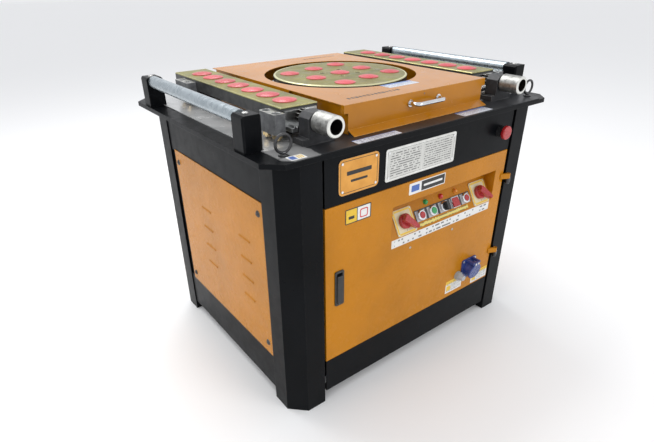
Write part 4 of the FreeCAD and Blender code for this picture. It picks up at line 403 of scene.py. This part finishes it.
def printed_rows(name, ground, ink, row_height, dash, margin, metallic=0.0, rough=0.38,
                 heading=None, fill=0.7):
    """A label with rows of short dashes that stand for print.  Local X runs along the rows."""
    s = Shade(name, metallic)
    x, y, _ = s.axes()
    row = s.math("FLOOR", s.math("DIVIDE", y, row_height))
    in_row = s.math("FRACT", s.math("DIVIDE", y, row_height))
    tall = s.math("MULTIPLY", s.math("GREATER_THAN", in_row, 0.30), s.math("LESS_THAN", in_row, 0.68))
    combine = s.nodes.new("ShaderNodeCombineXYZ")
    s.links.new(s.math("FLOOR", s.math("DIVIDE", x, dash)), combine.inputs[0])
    s.links.new(row, combine.inputs[1])
    white = s.nodes.new("ShaderNodeTexWhiteNoise")
    s.links.new(combine.outputs[0], white.inputs["Vector"])
    filled = s.math("LESS_THAN", white.outputs["Value"], fill)
    inside = s.math("MULTIPLY", s.math("LESS_THAN", s.math("ABSOLUTE", x), margin[0]),
                    s.math("LESS_THAN", s.math("ABSOLUTE", y), margin[1]))
    mark = s.math("MULTIPLY", s.math("MULTIPLY", tall, filled), inside)
    fade = s.noise(60.0, 5.0, 0.7)
    base = s.mix(s.band(fade, 0.3, 0.75), tuple(c * 0.9 for c in ground), ground)
    if heading:
        low, color = heading
        base = s.mix(s.math("GREATER_THAN", y, low), base, color)
    base = s.mix(s.math("MULTIPLY", mark, 0.85), base, ink)
    s.relief((s.noise(500.0, 3.0, 0.6), 0.06, 0.0002), soft_edge=0.0003)
    return s.finish(base, s.band(fade, 0.3, 0.75, rough - 0.06, rough + 0.12))


def flat_print(name, color):
    """One-colour print or film with slight fading."""
    s = Shade(name)
    fade = s.noise(80.0, 5.0, 0.7)
    base = s.mix(s.band(fade, 0.3, 0.75), tuple(c * 0.85 for c in color), color)
    s.relief((s.noise(450.0, 3.0, 0.6), 0.06, 0.0002))
    return s.finish(base, s.band(fade, 0.3, 0.75, 0.34, 0.52))


def plate_metal():
    """Header plates: the left one amber enamel, the right one brushed silver, screws bright."""
    s = Shade("header_plates")
    x, y, _ = s.axes()
    right = s.band(x, *HEADER_PLATE_GAP)
    lines = s.noise(60.0, 3.0, 0.6, stretch=(1.0, 1.0, 45.0))
    cloud = s.band(s.noise(30.0, 4.0, 0.6), 0.3, 0.7)
    amber = s.mix(cloud, (0.60, 0.26, 0.03), (0.74, 0.35, 0.06))
    silver = s.mix(cloud, (0.60, 0.60, 0.57), (0.78, 0.78, 0.75))
    base = s.mix(right, amber, silver)
    head = s.band(y, DOOR_FACE - 0.0016, DOOR_FACE - 0.0018)
    base = s.mix(head, base, (0.75, 0.75, 0.76))
    base = s.mix(s.math("MULTIPLY", s.edge(0.0008, 5.0), 0.7), base, (0.82, 0.78, 0.70))
    metal = s.math("MAXIMUM", s.band(right, 0.0, 1.0, 0.2, 0.75), head)
    s.relief((lines, 0.06, 0.0003), soft_edge=0.0004)
    return s.finish(base, s.band(cloud, 0.0, 1.0, 0.28, 0.4), metal)


def switch_plate_plastic():
    """Cream switch plates, and a strip with a grey square round each push button, near-black between the
    squares as painted shadow.
    """
    s = Shade("switch_plate_plastic")
    x, _, z = s.axes()
    along = s.math("SUBTRACT", x, CONTROLS_X)
    strip = s.math("LESS_THAN", s.math("ABSOLUTE", along), 0.120)
    turn = s.math("ADD", s.math("DIVIDE", along, SWITCH_PITCH), 0.5)
    off = s.math("ABSOLUTE", s.math("SUBTRACT", s.math("FRACT", turn), 0.5))
    up = s.math("DIVIDE", s.math("SUBTRACT", z, PAN_FOOT.z), math.cos(PAN_TILT))
    off_row = s.math("ABSOLUTE", s.math("SUBTRACT", up, SWITCH_ROW))
    square = s.math("MULTIPLY", s.math("LESS_THAN", off, 0.40), s.math("LESS_THAN", off_row, 0.0150))
    fade = s.noise(60.0, 5.0, 0.7)
    cream = s.mix(s.band(fade, 0.3, 0.75), (0.60, 0.53, 0.33), (0.72, 0.65, 0.44))
    grey = s.mix(s.band(fade, 0.3, 0.75), (0.34, 0.34, 0.35), (0.50, 0.50, 0.50))
    # The near-black between the grey squares is painted shadow of the buttons.
    row = s.mix(square, (0.02, 0.02, 0.021), grey)
    base = s.mix(strip, cream, row)
    s.relief((s.noise(500.0, 3.0, 0.6), 0.06, 0.0002), soft_edge=0.0006)
    return s.finish(base, s.band(fade, 0.3, 0.75, 0.26, 0.42))


def studio_floor():
    """Plain pale floor."""
    s = Shade("studio_floor")
    s.relief((s.noise(4.0, 2.0, 0.5), 0.02, 0.01))
    return s.finish((0.93, 0.93, 0.925), s.band(s.noise(3.0, 3.0, 0.5), 0.3, 0.7, 0.55, 0.68))


MATERIALS = {
    "black_paint": painted("black_frame_paint", (0.0030, 0.0036, 0.0046), (0.05, 0.05, 0.05), gloss=0.32,
                           cloud=0.25, wave=0.18, orange_peel=0.07, dust_amount=0.05, shine=0.08),
    "amber_paint": painted("amber_panel_paint", (0.47, 0.178, 0.0035), (0.28, 0.11, 0.01), gloss=0.24,
                           coat=0.05, cloud=0.09, wave=0.30, dust_amount=0.04, shine=0.18),
    "cover_paint": painted("amber_cover_paint", (0.47, 0.178, 0.0035), (0.74, 0.44, 0.14), gloss=0.18,
                           coat=0.12, cloud=0.09, wave=0.38, dust_amount=0.04, shine=0.28),
    "disc_face": olive_top("disc_working_face", DISC_TOP, True),
    "bar_face": olive_top("bar_working_face", BAR_TOP, False),
    "cap": cap_plastic(),
    "zinc": galvanised(),
    "sheet": ground_sheet(),
    "cast": cast_black(),
    "lug": lug_metal(),
    "sleeve": sleeve_metal(),
    "machined": steel("machined_steel", (0.26, 0.26, 0.255), (0.50, 0.50, 0.48), 0.30, (1, 1, 40)),
    "gear": steel("gear_steel", (0.20, 0.20, 0.205), (0.38, 0.38, 0.38), 0.34, (1, 1, 30)),
    "bolt": steel("plated_bolt_steel", (0.34, 0.34, 0.33), (0.62, 0.62, 0.60), 0.28, scale=120.0,
                  edge_tint=(0.8, 0.8, 0.78)),
    "dark_bolt": steel("blackened_bolt_steel", (0.03, 0.03, 0.032), (0.08, 0.08, 0.082), 0.36, scale=120.0,
                       metallic=0.7, edge_tint=(0.30, 0.30, 0.30)),
    "chrome": steel("chrome_plate", (0.62, 0.63, 0.65), (0.86, 0.87, 0.88), 0.14, scale=90.0, bump=0.03),
    "plates": plate_metal(),
    "black_plastic": moulded("black_plastic", (0.014, 0.014, 0.015), gloss=0.32, grain=0.15),
    "red_plastic": moulded("red_switch_plastic", (0.36, 0.008, 0.010), gloss=0.22, Coat_Weight=0.3),
    "green_plastic": moulded("green_switch_plastic", (0.02, 0.30, 0.085), gloss=0.22, Coat_Weight=0.3),
    "switch_plates": switch_plate_plastic(),
    "blue_plastic": moulded("blue_inlet_plastic", (0.016, 0.040, 0.20), gloss=0.24, Coat_Weight=0.2),
    "grey_plastic": moulded("grey_gland_plastic", (0.36, 0.39, 0.40), gloss=0.30, Subsurface_Weight=0.2),
    "lamps": lamp_lenses(),
    "rubber": moulded("belt_rubber", (0.012, 0.012, 0.012), gloss=0.6, grain=0.4),
    "motor_paint": painted("motor_paint", (0.06, 0.12, 0.19), (0.2, 0.2, 0.2), gloss=0.4, wave=0.05),
    "box_paint": painted("box_paint", (0.45, 0.45, 0.42), (0.3, 0.3, 0.3), gloss=0.45, orange_peel=0.2),
    "label_white": flat_print("label_white", (0.80, 0.80, 0.78)),
    "label_yellow": flat_print("label_yellow", (0.80, 0.52, 0.03)),
    "label_black": flat_print("label_black", (0.012, 0.012, 0.012)),
    "label_red": flat_print("label_red", (0.62, 0.03, 0.04)),
    "label_blue": flat_print("label_blue", (0.06, 0.14, 0.45)),
    "floor": studio_floor(),
}

NODE_MATERIAL = {
    "corner_posts": "black_paint", "front_header": "black_paint", "frame_rails": "black_paint",
    "base_frame": "black_paint", "table_top": "black_paint", "roller_brackets": "black_paint",
    "access_panels": "amber_paint", "door": "amber_paint", "top_cover": "cover_paint",
    "panel_bolts": "dark_bolt", "table_wear_sheet": "sheet", "lifting_eyes": "dark_bolt",
    "name_plates": "plates",
    "emergency_stop_collar": "black_plastic", "bar_slide_blocks": "cast", "adjuster_housings": "cast",
    "gearbox_housing": "cast", "gearbox_cover": "cast", "shaft_bearings": "bolt", "motor": "motor_paint",
    "drive_belts": "rubber", "electrical_box": "box_paint", "hinge_pins": "dark_bolt",
    "bending_disc": "disc_face", "disc_caps": "cap", "disc_bolts": "dark_bolt", "stop_ring": "machined",
    "main_shaft": "machined", "output_gear": "gear", "countershaft": "gear", "input_shaft": "gear",
    "input_pulley": "cast", "motor_pulley": "cast", "cover_handle": "chrome",
    "switch_plates": "switch_plates",
    "switch_bezels": "chrome", "indicator_lamps": "lamps", "latch_frame": "black_plastic",
    "door_latch": "black_plastic", "power_inlet": "blue_plastic", "inlet_flap": "blue_plastic",
    "cable_gland": "grey_plastic", "button_red_left": "red_plastic", "button_green": "green_plastic",
    "button_red_right": "red_plastic", "selector_switch": "black_plastic", "rocker_switch": "red_plastic",
    "emergency_stop_button": "red_plastic",
}
for side in ("left", "right"):
    NODE_MATERIAL["roller_" + side] = "zinc"
    NODE_MATERIAL["pin_bar_" + side] = "bar_face"
    NODE_MATERIAL["bar_caps_" + side] = "cap"
    NODE_MATERIAL["bar_lugs_" + side] = "lug"
    NODE_MATERIAL["adjuster_" + side] = "sleeve"
    NODE_MATERIAL["rotary_switch_" + side] = "red_plastic"
for node_name, material_name in NODE_MATERIAL.items():
    target = NODES[node_name]
    target.data.materials.clear()
    target.data.materials.append(MATERIALS[material_name])


# ---- mesh helpers -------------------------------------------------------------------------
def facing(origin, right, up):
    """Transform whose local X is right, Y is up and Z points out of the surface."""
    x = Vector(right).normalized()
    z = x.cross(Vector(up)).normalized()
    y = z.cross(x)
    matrix = Matrix((x, y, z)).transposed().to_4x4()
    matrix.translation = Vector(origin)
    return matrix


def front_place(x, z, y=None):
    """A place on the cabinet's front, facing the user."""
    return facing((x, DOOR_FACE if y is None else y, z), (1, 0, 0), (0, 0, 1))


def top_place(x, y, z):
    """A place on a level surface, read from the front."""
    return facing((x, y, z), (1, 0, 0), (0, 1, 0))


def pan_place(along, up, height=0.0):
    """A place on the tilted control pan."""
    slope = Vector((0.0, math.sin(PAN_TILT), math.cos(PAN_TILT)))
    out = Vector((0.0, -math.cos(PAN_TILT), math.sin(PAN_TILT)))
    return facing(PAN_FOOT + Vector((along, 0, 0)) + slope * up + out * height, (1, 0, 0), slope)


def add_piece(name, mesh, place, body, material):
    """Links a finished mesh at a place, riding on a body."""
    mesh.materials.append(MATERIALS[material] if isinstance(material, str) else material)
    piece = bpy.data.objects.new(name, mesh)
    bpy.context.scene.collection.objects.link(piece)
    piece.matrix_world = place
    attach(piece, body)
    return piece


def rounded_outline(width, height, radius, steps=5):
    """Corner points of a rounded rectangle about the middle."""
    points = []
    for quarter, (sx, sy) in enumerate(((1, 1), (-1, 1), (-1, -1), (1, -1))):
        cx = sx * (width / 2 - radius)
        cy = sy * (height / 2 - radius)
        for i in range(steps + 1):
            angle = math.pi / 2 * (quarter + i / steps)
            points.append((cx + radius * math.cos(angle), cy + radius * math.sin(angle)))
    return points


def circle_outline(radius, steps, start):
    """Points round a circle."""
    angles = [start + 2 * math.pi * i / steps for i in range(steps)]
    return [(radius * math.cos(angle), radius * math.sin(angle)) for angle in angles]


def moved(outline, dx, dy):
    """An outline shifted in its own plane."""
    return [(x + dx, y + dy) for x, y in outline]


def solid_outline(bm, outline, low, high):
    """Adds a prism over an outline."""
    count = len(outline)
    lower, upper = ([bm.verts.new((x, y, z)) for x, y in outline] for z in (low, high))
    for i in range(count):
        j = (i + 1) % count
        bm.faces.new((lower[i], lower[j], upper[j], upper[i]))
    bm.faces.new(list(reversed(lower)))
    bm.faces.new(upper)


def frame_outline(bm, outer, inner, high):
    """Adds a flat ring on the place's plane, between two outlines with as many points."""
    count = len(outer)
    rings = []
    for outline, z in ((outer, 0.0), (outer, high), (inner, high), (inner, 0.0)):
        rings.append([bm.verts.new((x, y, z)) for x, y in outline])
    for a, b in zip(rings, rings[1:] + rings[:1]):
        for i in range(count):
            j = (i + 1) % count
            bm.faces.new((a[i], a[j], b[j], b[i]))


def mesh_from(bm, name, smooth=False):
    """Turns the bmesh into a mesh with outward normals."""
    bmesh.ops.recalc_face_normals(bm, faces=bm.faces)
    mesh = bpy.data.meshes.new(name)
    bm.to_mesh(mesh)
    bm.free()
    if smooth:
        for polygon in mesh.polygons:
            polygon.use_smooth = True
    return mesh


FILM = 0.00025
PRINT_LOW = 0.00006
PRINT_BLOCK = 0.00008
PRINT_MID = 0.00010
PRINT_HIGH = 0.00014


def sticker(name, place, body, material, *outlines, low=0.0, thickness=FILM):
    """One thin piece made of flat outlines in the place's plane."""
    bm = bmesh.new()
    for outline in outlines:
        solid_outline(bm, outline, low, low + thickness)
    return add_piece(name, mesh_from(bm, name), place, body, material)


def ring_sticker(name, place, body, outer, inner, material="label_black"):
    """One thin printed ring between two outlines."""
    bm = bmesh.new()
    frame_outline(bm, outer, inner, PRINT_MID)
    return add_piece(name, mesh_from(bm, name), place, body, material)


def screw_group(name, body, places, radius, height, material, recess="cross"):
    """Pan-head screws, each with a driven recess, as one piece in the row's frame."""
    bm = bmesh.new()
    for index, place in enumerate(places):
        part = bmesh.new()
        steps = 24
        turn = 0.7 * index
        rings = []
        profile = [(1.0, 0.0), (1.0, 0.35), (0.93, 0.66), (0.78, 0.9), (0.56, 1.0)]
        for r, h in profile:
            around = circle_outline(r * radius, steps, turn)
            rings.append([part.verts.new((x, y, h * height)) for x, y in around])
        arms = []
        for i, (x, y) in enumerate(circle_outline(radius, steps, turn)):
            near_arm = i % 6 in (0, 1) if recess == "cross" else True
            scale = 0.46 if near_arm else 0.2
            arms.append((x * scale, y * scale))
        rings.append([part.verts.new((x, y, height)) for x, y in arms])
        rings.append([part.verts.new((x * 0.82, y * 0.82, height * 0.45)) for x, y in arms])
        for lower, upper in zip(rings, rings[1:]):
            for i in range(steps):
                j = (i + 1) % steps
                part.faces.new((lower[i], lower[j], upper[j], upper[i]))
        part.faces.new(rings[-1])
        part.faces.new(list(reversed(rings[0])))
        part.transform(place)
        mesh = mesh_from(part, name + "_one")
        bm.from_mesh(mesh)
        bpy.data.meshes.remove(mesh)
    return add_piece(name, mesh_from(bm, name), Matrix.Identity(4), body, material)


# ---- labels -------------------------------------------------------------------------------
def label(name, place, body, width, height, material, corner=0.003):
    """A plain film label with rounded corners."""
    return sticker(name, place, body, material, rounded_outline(width, height, corner))


def print_on(name, place, material, size, corner, at, thickness):
    """A rounded block of print on a label of the door."""
    outline = moved(rounded_outline(*size, corner), *at)
    return sticker(name, place, "door", material, outline, low=FILM, thickness=thickness)


def door_label():
    """Two-part label on the door, in plain colour blocks."""
    place = front_place(-0.2475, 0.560)
    label("door_label_base", place, "door", 0.083, 0.040, "label_black")
    for part, material, size, corner, at, thickness in (
            ("yellow", "label_yellow", (0.034, 0.035), 0.001, (-0.0218, 0), PRINT_LOW),
            ("white", "label_white", (0.041, 0.035), 0.001, (0.018, 0), PRINT_LOW),
            ("red", "label_red", (0.026, 0.024), 0.005, (0.018, -0.001), PRINT_MID),
            ("centre", "label_white", (0.020, 0.018), 0.003, (0.018, -0.001), PRINT_HIGH),
            ("mark", "label_black", (0.018, 0.008), 0.001, (-0.0218, -0.004), PRINT_MID)):
        print_on("door_label_" + part, place, material, size, corner, at, thickness)


def strip_label():
    """Small black and white strip above the controls, in plain colour blocks."""
    place = front_place(-0.0025, 0.576)
    label("strip_label_base", place, "door", 0.141, 0.032, "label_white")
    for part, material, size, corner, at, thickness in (
            ("dark", "label_black", (0.092, 0.027), 0.001, (0.022, 0), PRINT_LOW),
            ("blue", "label_blue", (0.030, 0.018), 0.002, (-0.047, 0), PRINT_LOW),
            ("bar", "label_white", (0.074, 0.006), 0.001, (0.022, 0), PRINT_MID)):
        print_on("strip_label_" + part, place, material, size, corner, at, thickness)


def inlet_labels():
    """Two small plain labels under the power inlet."""
    for name, x, z, width, height in (("left", 0.1735, 0.1795, 0.079, 0.045),
                                      ("right", 0.3055, 0.1675, 0.083, 0.041)):
        place = front_place(x, z)
        rows = printed_rows(f"inlet_label_print_{name}", (0.78, 0.78, 0.76), (0.05, 0.05, 0.05), 0.0046,
                            0.0021, (width * 0.43, height * 0.40),
                            heading=(height * 0.22, (0.80, 0.52, 0.03)))
        label(f"inlet_label_{name}", place, "door", width, height, rows, 0.002)
        print_on(f"inlet_label_block_{name}", place, "label_yellow", (0.020, 0.018), 0.002,
                 (-width * 0.32, -0.005), PRINT_BLOCK)


def control_legends():
    """Legend strip under the recess, the yellow strip in it, and the borders of the switch plates."""
    legend = printed_rows("legend_print", (0.74, 0.74, 0.72), (0.03, 0.03, 0.03), 0.0125, 0.0062,
                          (0.200, 0.0125), rough=0.32, fill=0.38)
    label("legend_strip", front_place(0.085, 0.4285), "door", 0.422, 0.025, legend, 0.002)
    yellow = printed_rows("pan_strip_print", (0.72, 0.60, 0.16), (0.04, 0.04, 0.03), 0.010, 0.0030,
                          (0.108, 0.005))
    label("pan_strip", pan_place(0.0845, 0.009), "door", 0.225, 0.010, yellow, 0.001)
    for side, x in PLATE_PLACES:
        place = pan_place(x, PLATE_ROW, PLATE_FACE)
        ring_sticker(f"switch_border_{side}", place, "door", rounded_outline(0.068, 0.068, 0.004),
                     rounded_outline(0.058, 0.058, 0.002), "label_yellow")
        ticks = []
        for degrees in (0, -45, -90):
            angle = math.radians(degrees)
            direction = Vector((math.cos(angle), math.sin(angle)))
            across = Vector((-direction.y, direction.x)) * 0.0007
            a, b = direction * 0.0225, direction * 0.0272
            ticks.append([tuple(a - across), tuple(b - across), tuple(b + across), tuple(a + across)])
        sticker(f"switch_ticks_{side}", place, "door", "label_black", *ticks, thickness=PRINT_MID)


def header_plate_prints():
    """Print on the two header plates: plain bars, and rows of dashes."""
    plate_face = DOOR_FACE - 0.0015
    left = front_place(-0.2485, 0.664, plate_face)
    ring_sticker("model_plate_border", left, "frame", rounded_outline(0.114, 0.078, 0.009),
                 rounded_outline(0.1115, 0.0755, 0.0078))
    blocks = [moved(rounded_outline(width, height, 0.002), 0, up)
              for width, height, up in ((0.076, 0.010, 0.008), (0.052, 0.006, -0.012))]
    sticker("model_plate_bars", left, "frame", "label_black", *blocks, thickness=PRINT_MID)
    right = front_place(-0.0355, 0.661, plate_face)
    for name, dx, dash in (("left", -0.060, 0.0046), ("right", 0.060, 0.0019)):
        rows = printed_rows(f"spec_plate_print_{name}", (0.62, 0.62, 0.59), (0.07, 0.07, 0.07), 0.0062,
                            dash, (0.053, 0.0295), metallic=0.5)
        half = right @ Matrix.Translation((dx, 0, 0))
        label(f"spec_plate_print_{name}", half, "frame", 0.118, 0.066, rows, 0.002)
    ring_sticker("spec_plate_border", right, "frame", rounded_outline(0.244, 0.071, 0.004),
                 rounded_outline(0.2425, 0.0695, 0.0034))


def table_labels():
    """Labels along the front of the table and on the cover."""
    strip = printed_rows("table_strip_print", (0.60, 0.64, 0.70), (0.05, 0.07, 0.16), 0.0075, 0.0030,
                         (0.060, 0.012), rough=0.3, heading=(0.0095, (0.12, 0.22, 0.5)))
    label("table_label_left", top_place(-0.198, -0.3725, DECK), "frame", 0.136, 0.026, strip, 0.002)
    label("table_label_right", top_place(0.1645, -0.3635, DECK), "frame", 0.120, 0.036, strip, 0.002)
    corner = top_place(-0.424, -0.3715, DECK)
    label("table_corner_label", corner, "frame", 0.040, 0.026, "label_white", 0.002)
    blue = [(-0.016, -0.009), (-0.002, -0.009), (-0.002, 0.009), (-0.016, 0.009)]
    sticker("table_corner_blue", corner, "frame", "label_blue", blue, low=FILM, thickness=PRINT_LOW)
    stripes = []
    for i in range(3):
        x = 0.001 + 0.0055 * i
        stripes.append([(x, -0.009), (x + 0.003, -0.009), (x + 0.006, 0.009), (x + 0.003, 0.009)])
    sticker("table_corner_stripes", corner, "frame", "label_yellow", *stripes, low=FILM,
            thickness=PRINT_LOW)
    generator = random.Random(11)
    for name, places, size in (
            ("front", [(-0.200 + 0.0125 * i, -0.270) for i in range(14)], 0.0085),
            ("rear", [(0.075 + 0.0115 * i, 0.300) for i in range(12)], 0.0075)):
        marks = []
        for x, y in places:
            width = size * generator.uniform(0.55, 1.0)
            marks.append(moved(rounded_outline(width, size * 1.5, size * 0.2, 3), x, y))
        sticker(f"cover_marks_{name}", top_place(0, 0, COVER_TOP), "cover", "label_black", *marks,
                thickness=PRINT_MID)
    label("cover_label", top_place(0.017, -0.224, COVER_TOP), "cover", 0.112, 0.040, strip, 0.003)


# ---- small fasteners and fittings -----------------------------------------------------------
def fasteners():
    """Screws that are too small for parts of their own."""
    on_door = [front_place(x, z) for x, z in ((-0.051, 0.396), (0.128, 0.397))]
    screw_group("door_screws", "door", on_door, 0.0038, 0.0018, "bolt")
    on_cover = [front_place(0.013, 0.803, COVER_FRONT)]
    screw_group("cover_front_screw", "cover", on_cover, 0.0034, 0.0016, "dark_bolt")
    low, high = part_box("latch_frame")
    latch_x = (low[0] + high[0]) / 2
    on_latch = [front_place(latch_x, z, DOOR_FACE - 0.003) for z in (low[2] + 0.0034, high[2] - 0.0034)]
    screw_group("latch_screws", "door", on_latch, 0.0019, 0.0009, "dark_bolt")
    low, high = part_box("power_inlet")
    inlet_x = (low[0] + high[0]) / 2
    on_flange = [front_place(inlet_x + dx, 0.222 + dz, DOOR_FACE - 0.004)
                 for dx in (-0.0275, 0.0275) for dz in (-0.0295, 0.0295)]
    screw_group("inlet_flange_screws", "door", on_flange, 0.0036, 0.0018, "bolt")
    on_plates = [pan_place(x + dx, PLATE_ROW + dy, PLATE_FACE)
                 for _, x in PLATE_PLACES for dx in (-0.0315, 0.0315) for dy in (-0.0315, 0.0315)]
    screw_group("switch_plate_screws", "door", on_plates, 0.0021, 0.0009, "bolt")
    bracket_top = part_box("roller_brackets")[1][2]
    on_brackets = []
    for node in ("roller_left", "roller_right"):
        low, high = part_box(node)
        for y in (-0.2645, 0.2885):
            on_brackets.append(top_place((low[0] + high[0]) / 2, y, bracket_top))
    screw_group("roller_bracket_screws", "frame", on_brackets, 0.0072, 0.0030, "bolt", recess="hex")
    low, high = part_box("inlet_flap")
    on_flap = [front_place(inlet_x + dx, high[2] - 0.006, low[1] + 0.0005) for dx in (-0.006, 0.006)]
    screw_group("inlet_tab_screws", "inlet_flap", on_flap, 0.0036, 0.0014, "label_white")


WELD_RADIUS = 0.0028
BRACKET_INNER = 0.4515
BRACKET_WELD_SINK = 0.0004
HOUSING_FRONT = -0.3245
HOUSING_WELD_HALF = 0.043
HOUSING_WELD_SINK = 0.0003


def weld_bead(name, body, start, end, normal, seed):
    """A rippled weld along a straight seam."""
    generator = random.Random(seed)
    start, end, normal = Vector(start), Vector(end), Vector(normal).normalized()
    along = end - start
    length = along.length
    along.normalize()
    across = along.cross(normal)
    count = max(8, int(length / 0.0032))
    bm = bmesh.new()
    rings = []
    for i in range(count + 1):
        swell = WELD_RADIUS * (0.86 + 0.14 * math.sin(i * 2.1) + generator.uniform(-0.07, 0.07))
        if i in (0, count):
            swell *= 0.35
        centre = start + along * (length * i / count)
        ring = []
        for k in range(7):
            angle = math.pi * k / 6
            sideways = across * (swell * math.cos(angle))
            ring.append(bm.verts.new(centre + sideways + normal * (0.7 * swell * math.sin(angle))))
        rings.append(ring)
    for a, b in zip(rings, rings[1:]):
        for k in range(6):
            bm.faces.new((a[k], a[k + 1], b[k + 1], b[k]))
        bm.faces.new((a[6], a[0], b[0], b[6]))
    bm.faces.new(list(reversed(rings[0])))
    bm.faces.new(rings[-1])
    return add_piece(name, mesh_from(bm, name, smooth=True), Matrix.Identity(4), body, "cast")


def table_welds():
    """Welds at the feet of the roller brackets and in front of the adjuster housings."""
    z = DECK - BRACKET_WELD_SINK
    for side, sign in (("left", -1), ("right", 1)):
        x = sign * BRACKET_INNER - sign * BRACKET_WELD_SINK
        for end, y0, y1 in (("front", -0.286, -0.243), ("rear", 0.267, 0.310)):
            weld_bead(f"bracket_weld_{end}_{side}", "frame", (x, y0, z), (x, y1, z),
                      (-sign * 0.6, 0, 0.8), 3)
    z = DECK - HOUSING_WELD_SINK
    for side, bar_x, seed in zip(("left", "right"), BARS_X, (5, 6)):
        weld_bead(f"housing_weld_{side}", "frame", (bar_x - HOUSING_WELD_HALF, HOUSING_FRONT, z),
                  (bar_x + HOUSING_WELD_HALF, HOUSING_FRONT, z), (0, -0.6, 0.8), seed)


door_label()
strip_label()
inlet_labels()
control_legends()
header_plate_prints()
table_labels()
fasteners()
table_welds()


# ---- stage ------------------------------------------------------------------------------------
def area_light(name, place, target, size, power):
    """A rectangular light at a place, aimed at a target."""
    data = bpy.data.lights.new(name, "AREA")
    data.shape = "RECTANGLE"
    data.size, data.size_y = size
    data.energy = power
    light = bpy.data.objects.new(name, data)
    bpy.context.scene.collection.objects.link(light)
    light.location = place
    light.rotation_euler = (Vector(target) - Vector(place)).to_track_quat("-Z", "Y").to_euler()


def build_stage():
    """Pale floor, pale surroundings and soft lights."""
    bm = bmesh.new()
    half = 30.0
    square = ((-half, -half), (half, -half), (half, half), (-half, half))
    bm.faces.new([bm.verts.new((x, y, -0.0003)) for x, y in square])
    mesh = mesh_from(bm, "studio_floor")
    mesh.materials.append(MATERIALS["floor"])
    floor = bpy.data.objects.new("studio_floor", mesh)
    bpy.context.scene.collection.objects.link(floor)
    world = bpy.data.worlds.new("studio")
    bpy.context.scene.world = world
    world.use_nodes = True
    background = world.node_tree.nodes["Background"]
    background.inputs["Color"].default_value = (0.96, 0.97, 1.0, 1.0)
    background.inputs["Strength"].default_value = 0.88
    middle = (0.0, 0.0, 0.5)
    area_light("front_soft", (1.4, -3.6, 2.0), middle, (2.0, 1.2), 34.0)
    area_light("left_soft", (-3.6, -0.4, 2.2), middle, (1.8, 1.4), 22.0)
    area_light("top_soft", (-0.2, 1.6, 3.2), middle, (2.6, 1.4), 62.0)


def build_camera():
    """Camera at the height, distance and lens that give the same view as the reference."""
    data = bpy.data.cameras.new("main_camera")
    data.sensor_width = 36.0
    data.lens = 26.83
    data.shift_x = 0.0062
    data.shift_y = 0.0301
    camera = bpy.data.objects.new("main_camera", data)
    bpy.context.scene.collection.objects.link(camera)
    azimuth = math.radians(36.808)
    pitch = math.radians(28.658)
    level = math.cos(pitch)
    ahead = Vector((math.sin(azimuth) * level, math.cos(azimuth) * level, -math.sin(pitch)))
    turn = ahead.to_track_quat("-Z", "Y") @ Quaternion((0, 0, 1), math.radians(-0.779))
    camera.location = (-0.9607, -1.1765, 1.073)
    camera.rotation_euler = turn.to_euler()
    bpy.context.scene.camera = camera


build_stage()
build_camera()
bpy.context.scene.view_settings.view_transform = "Standard"
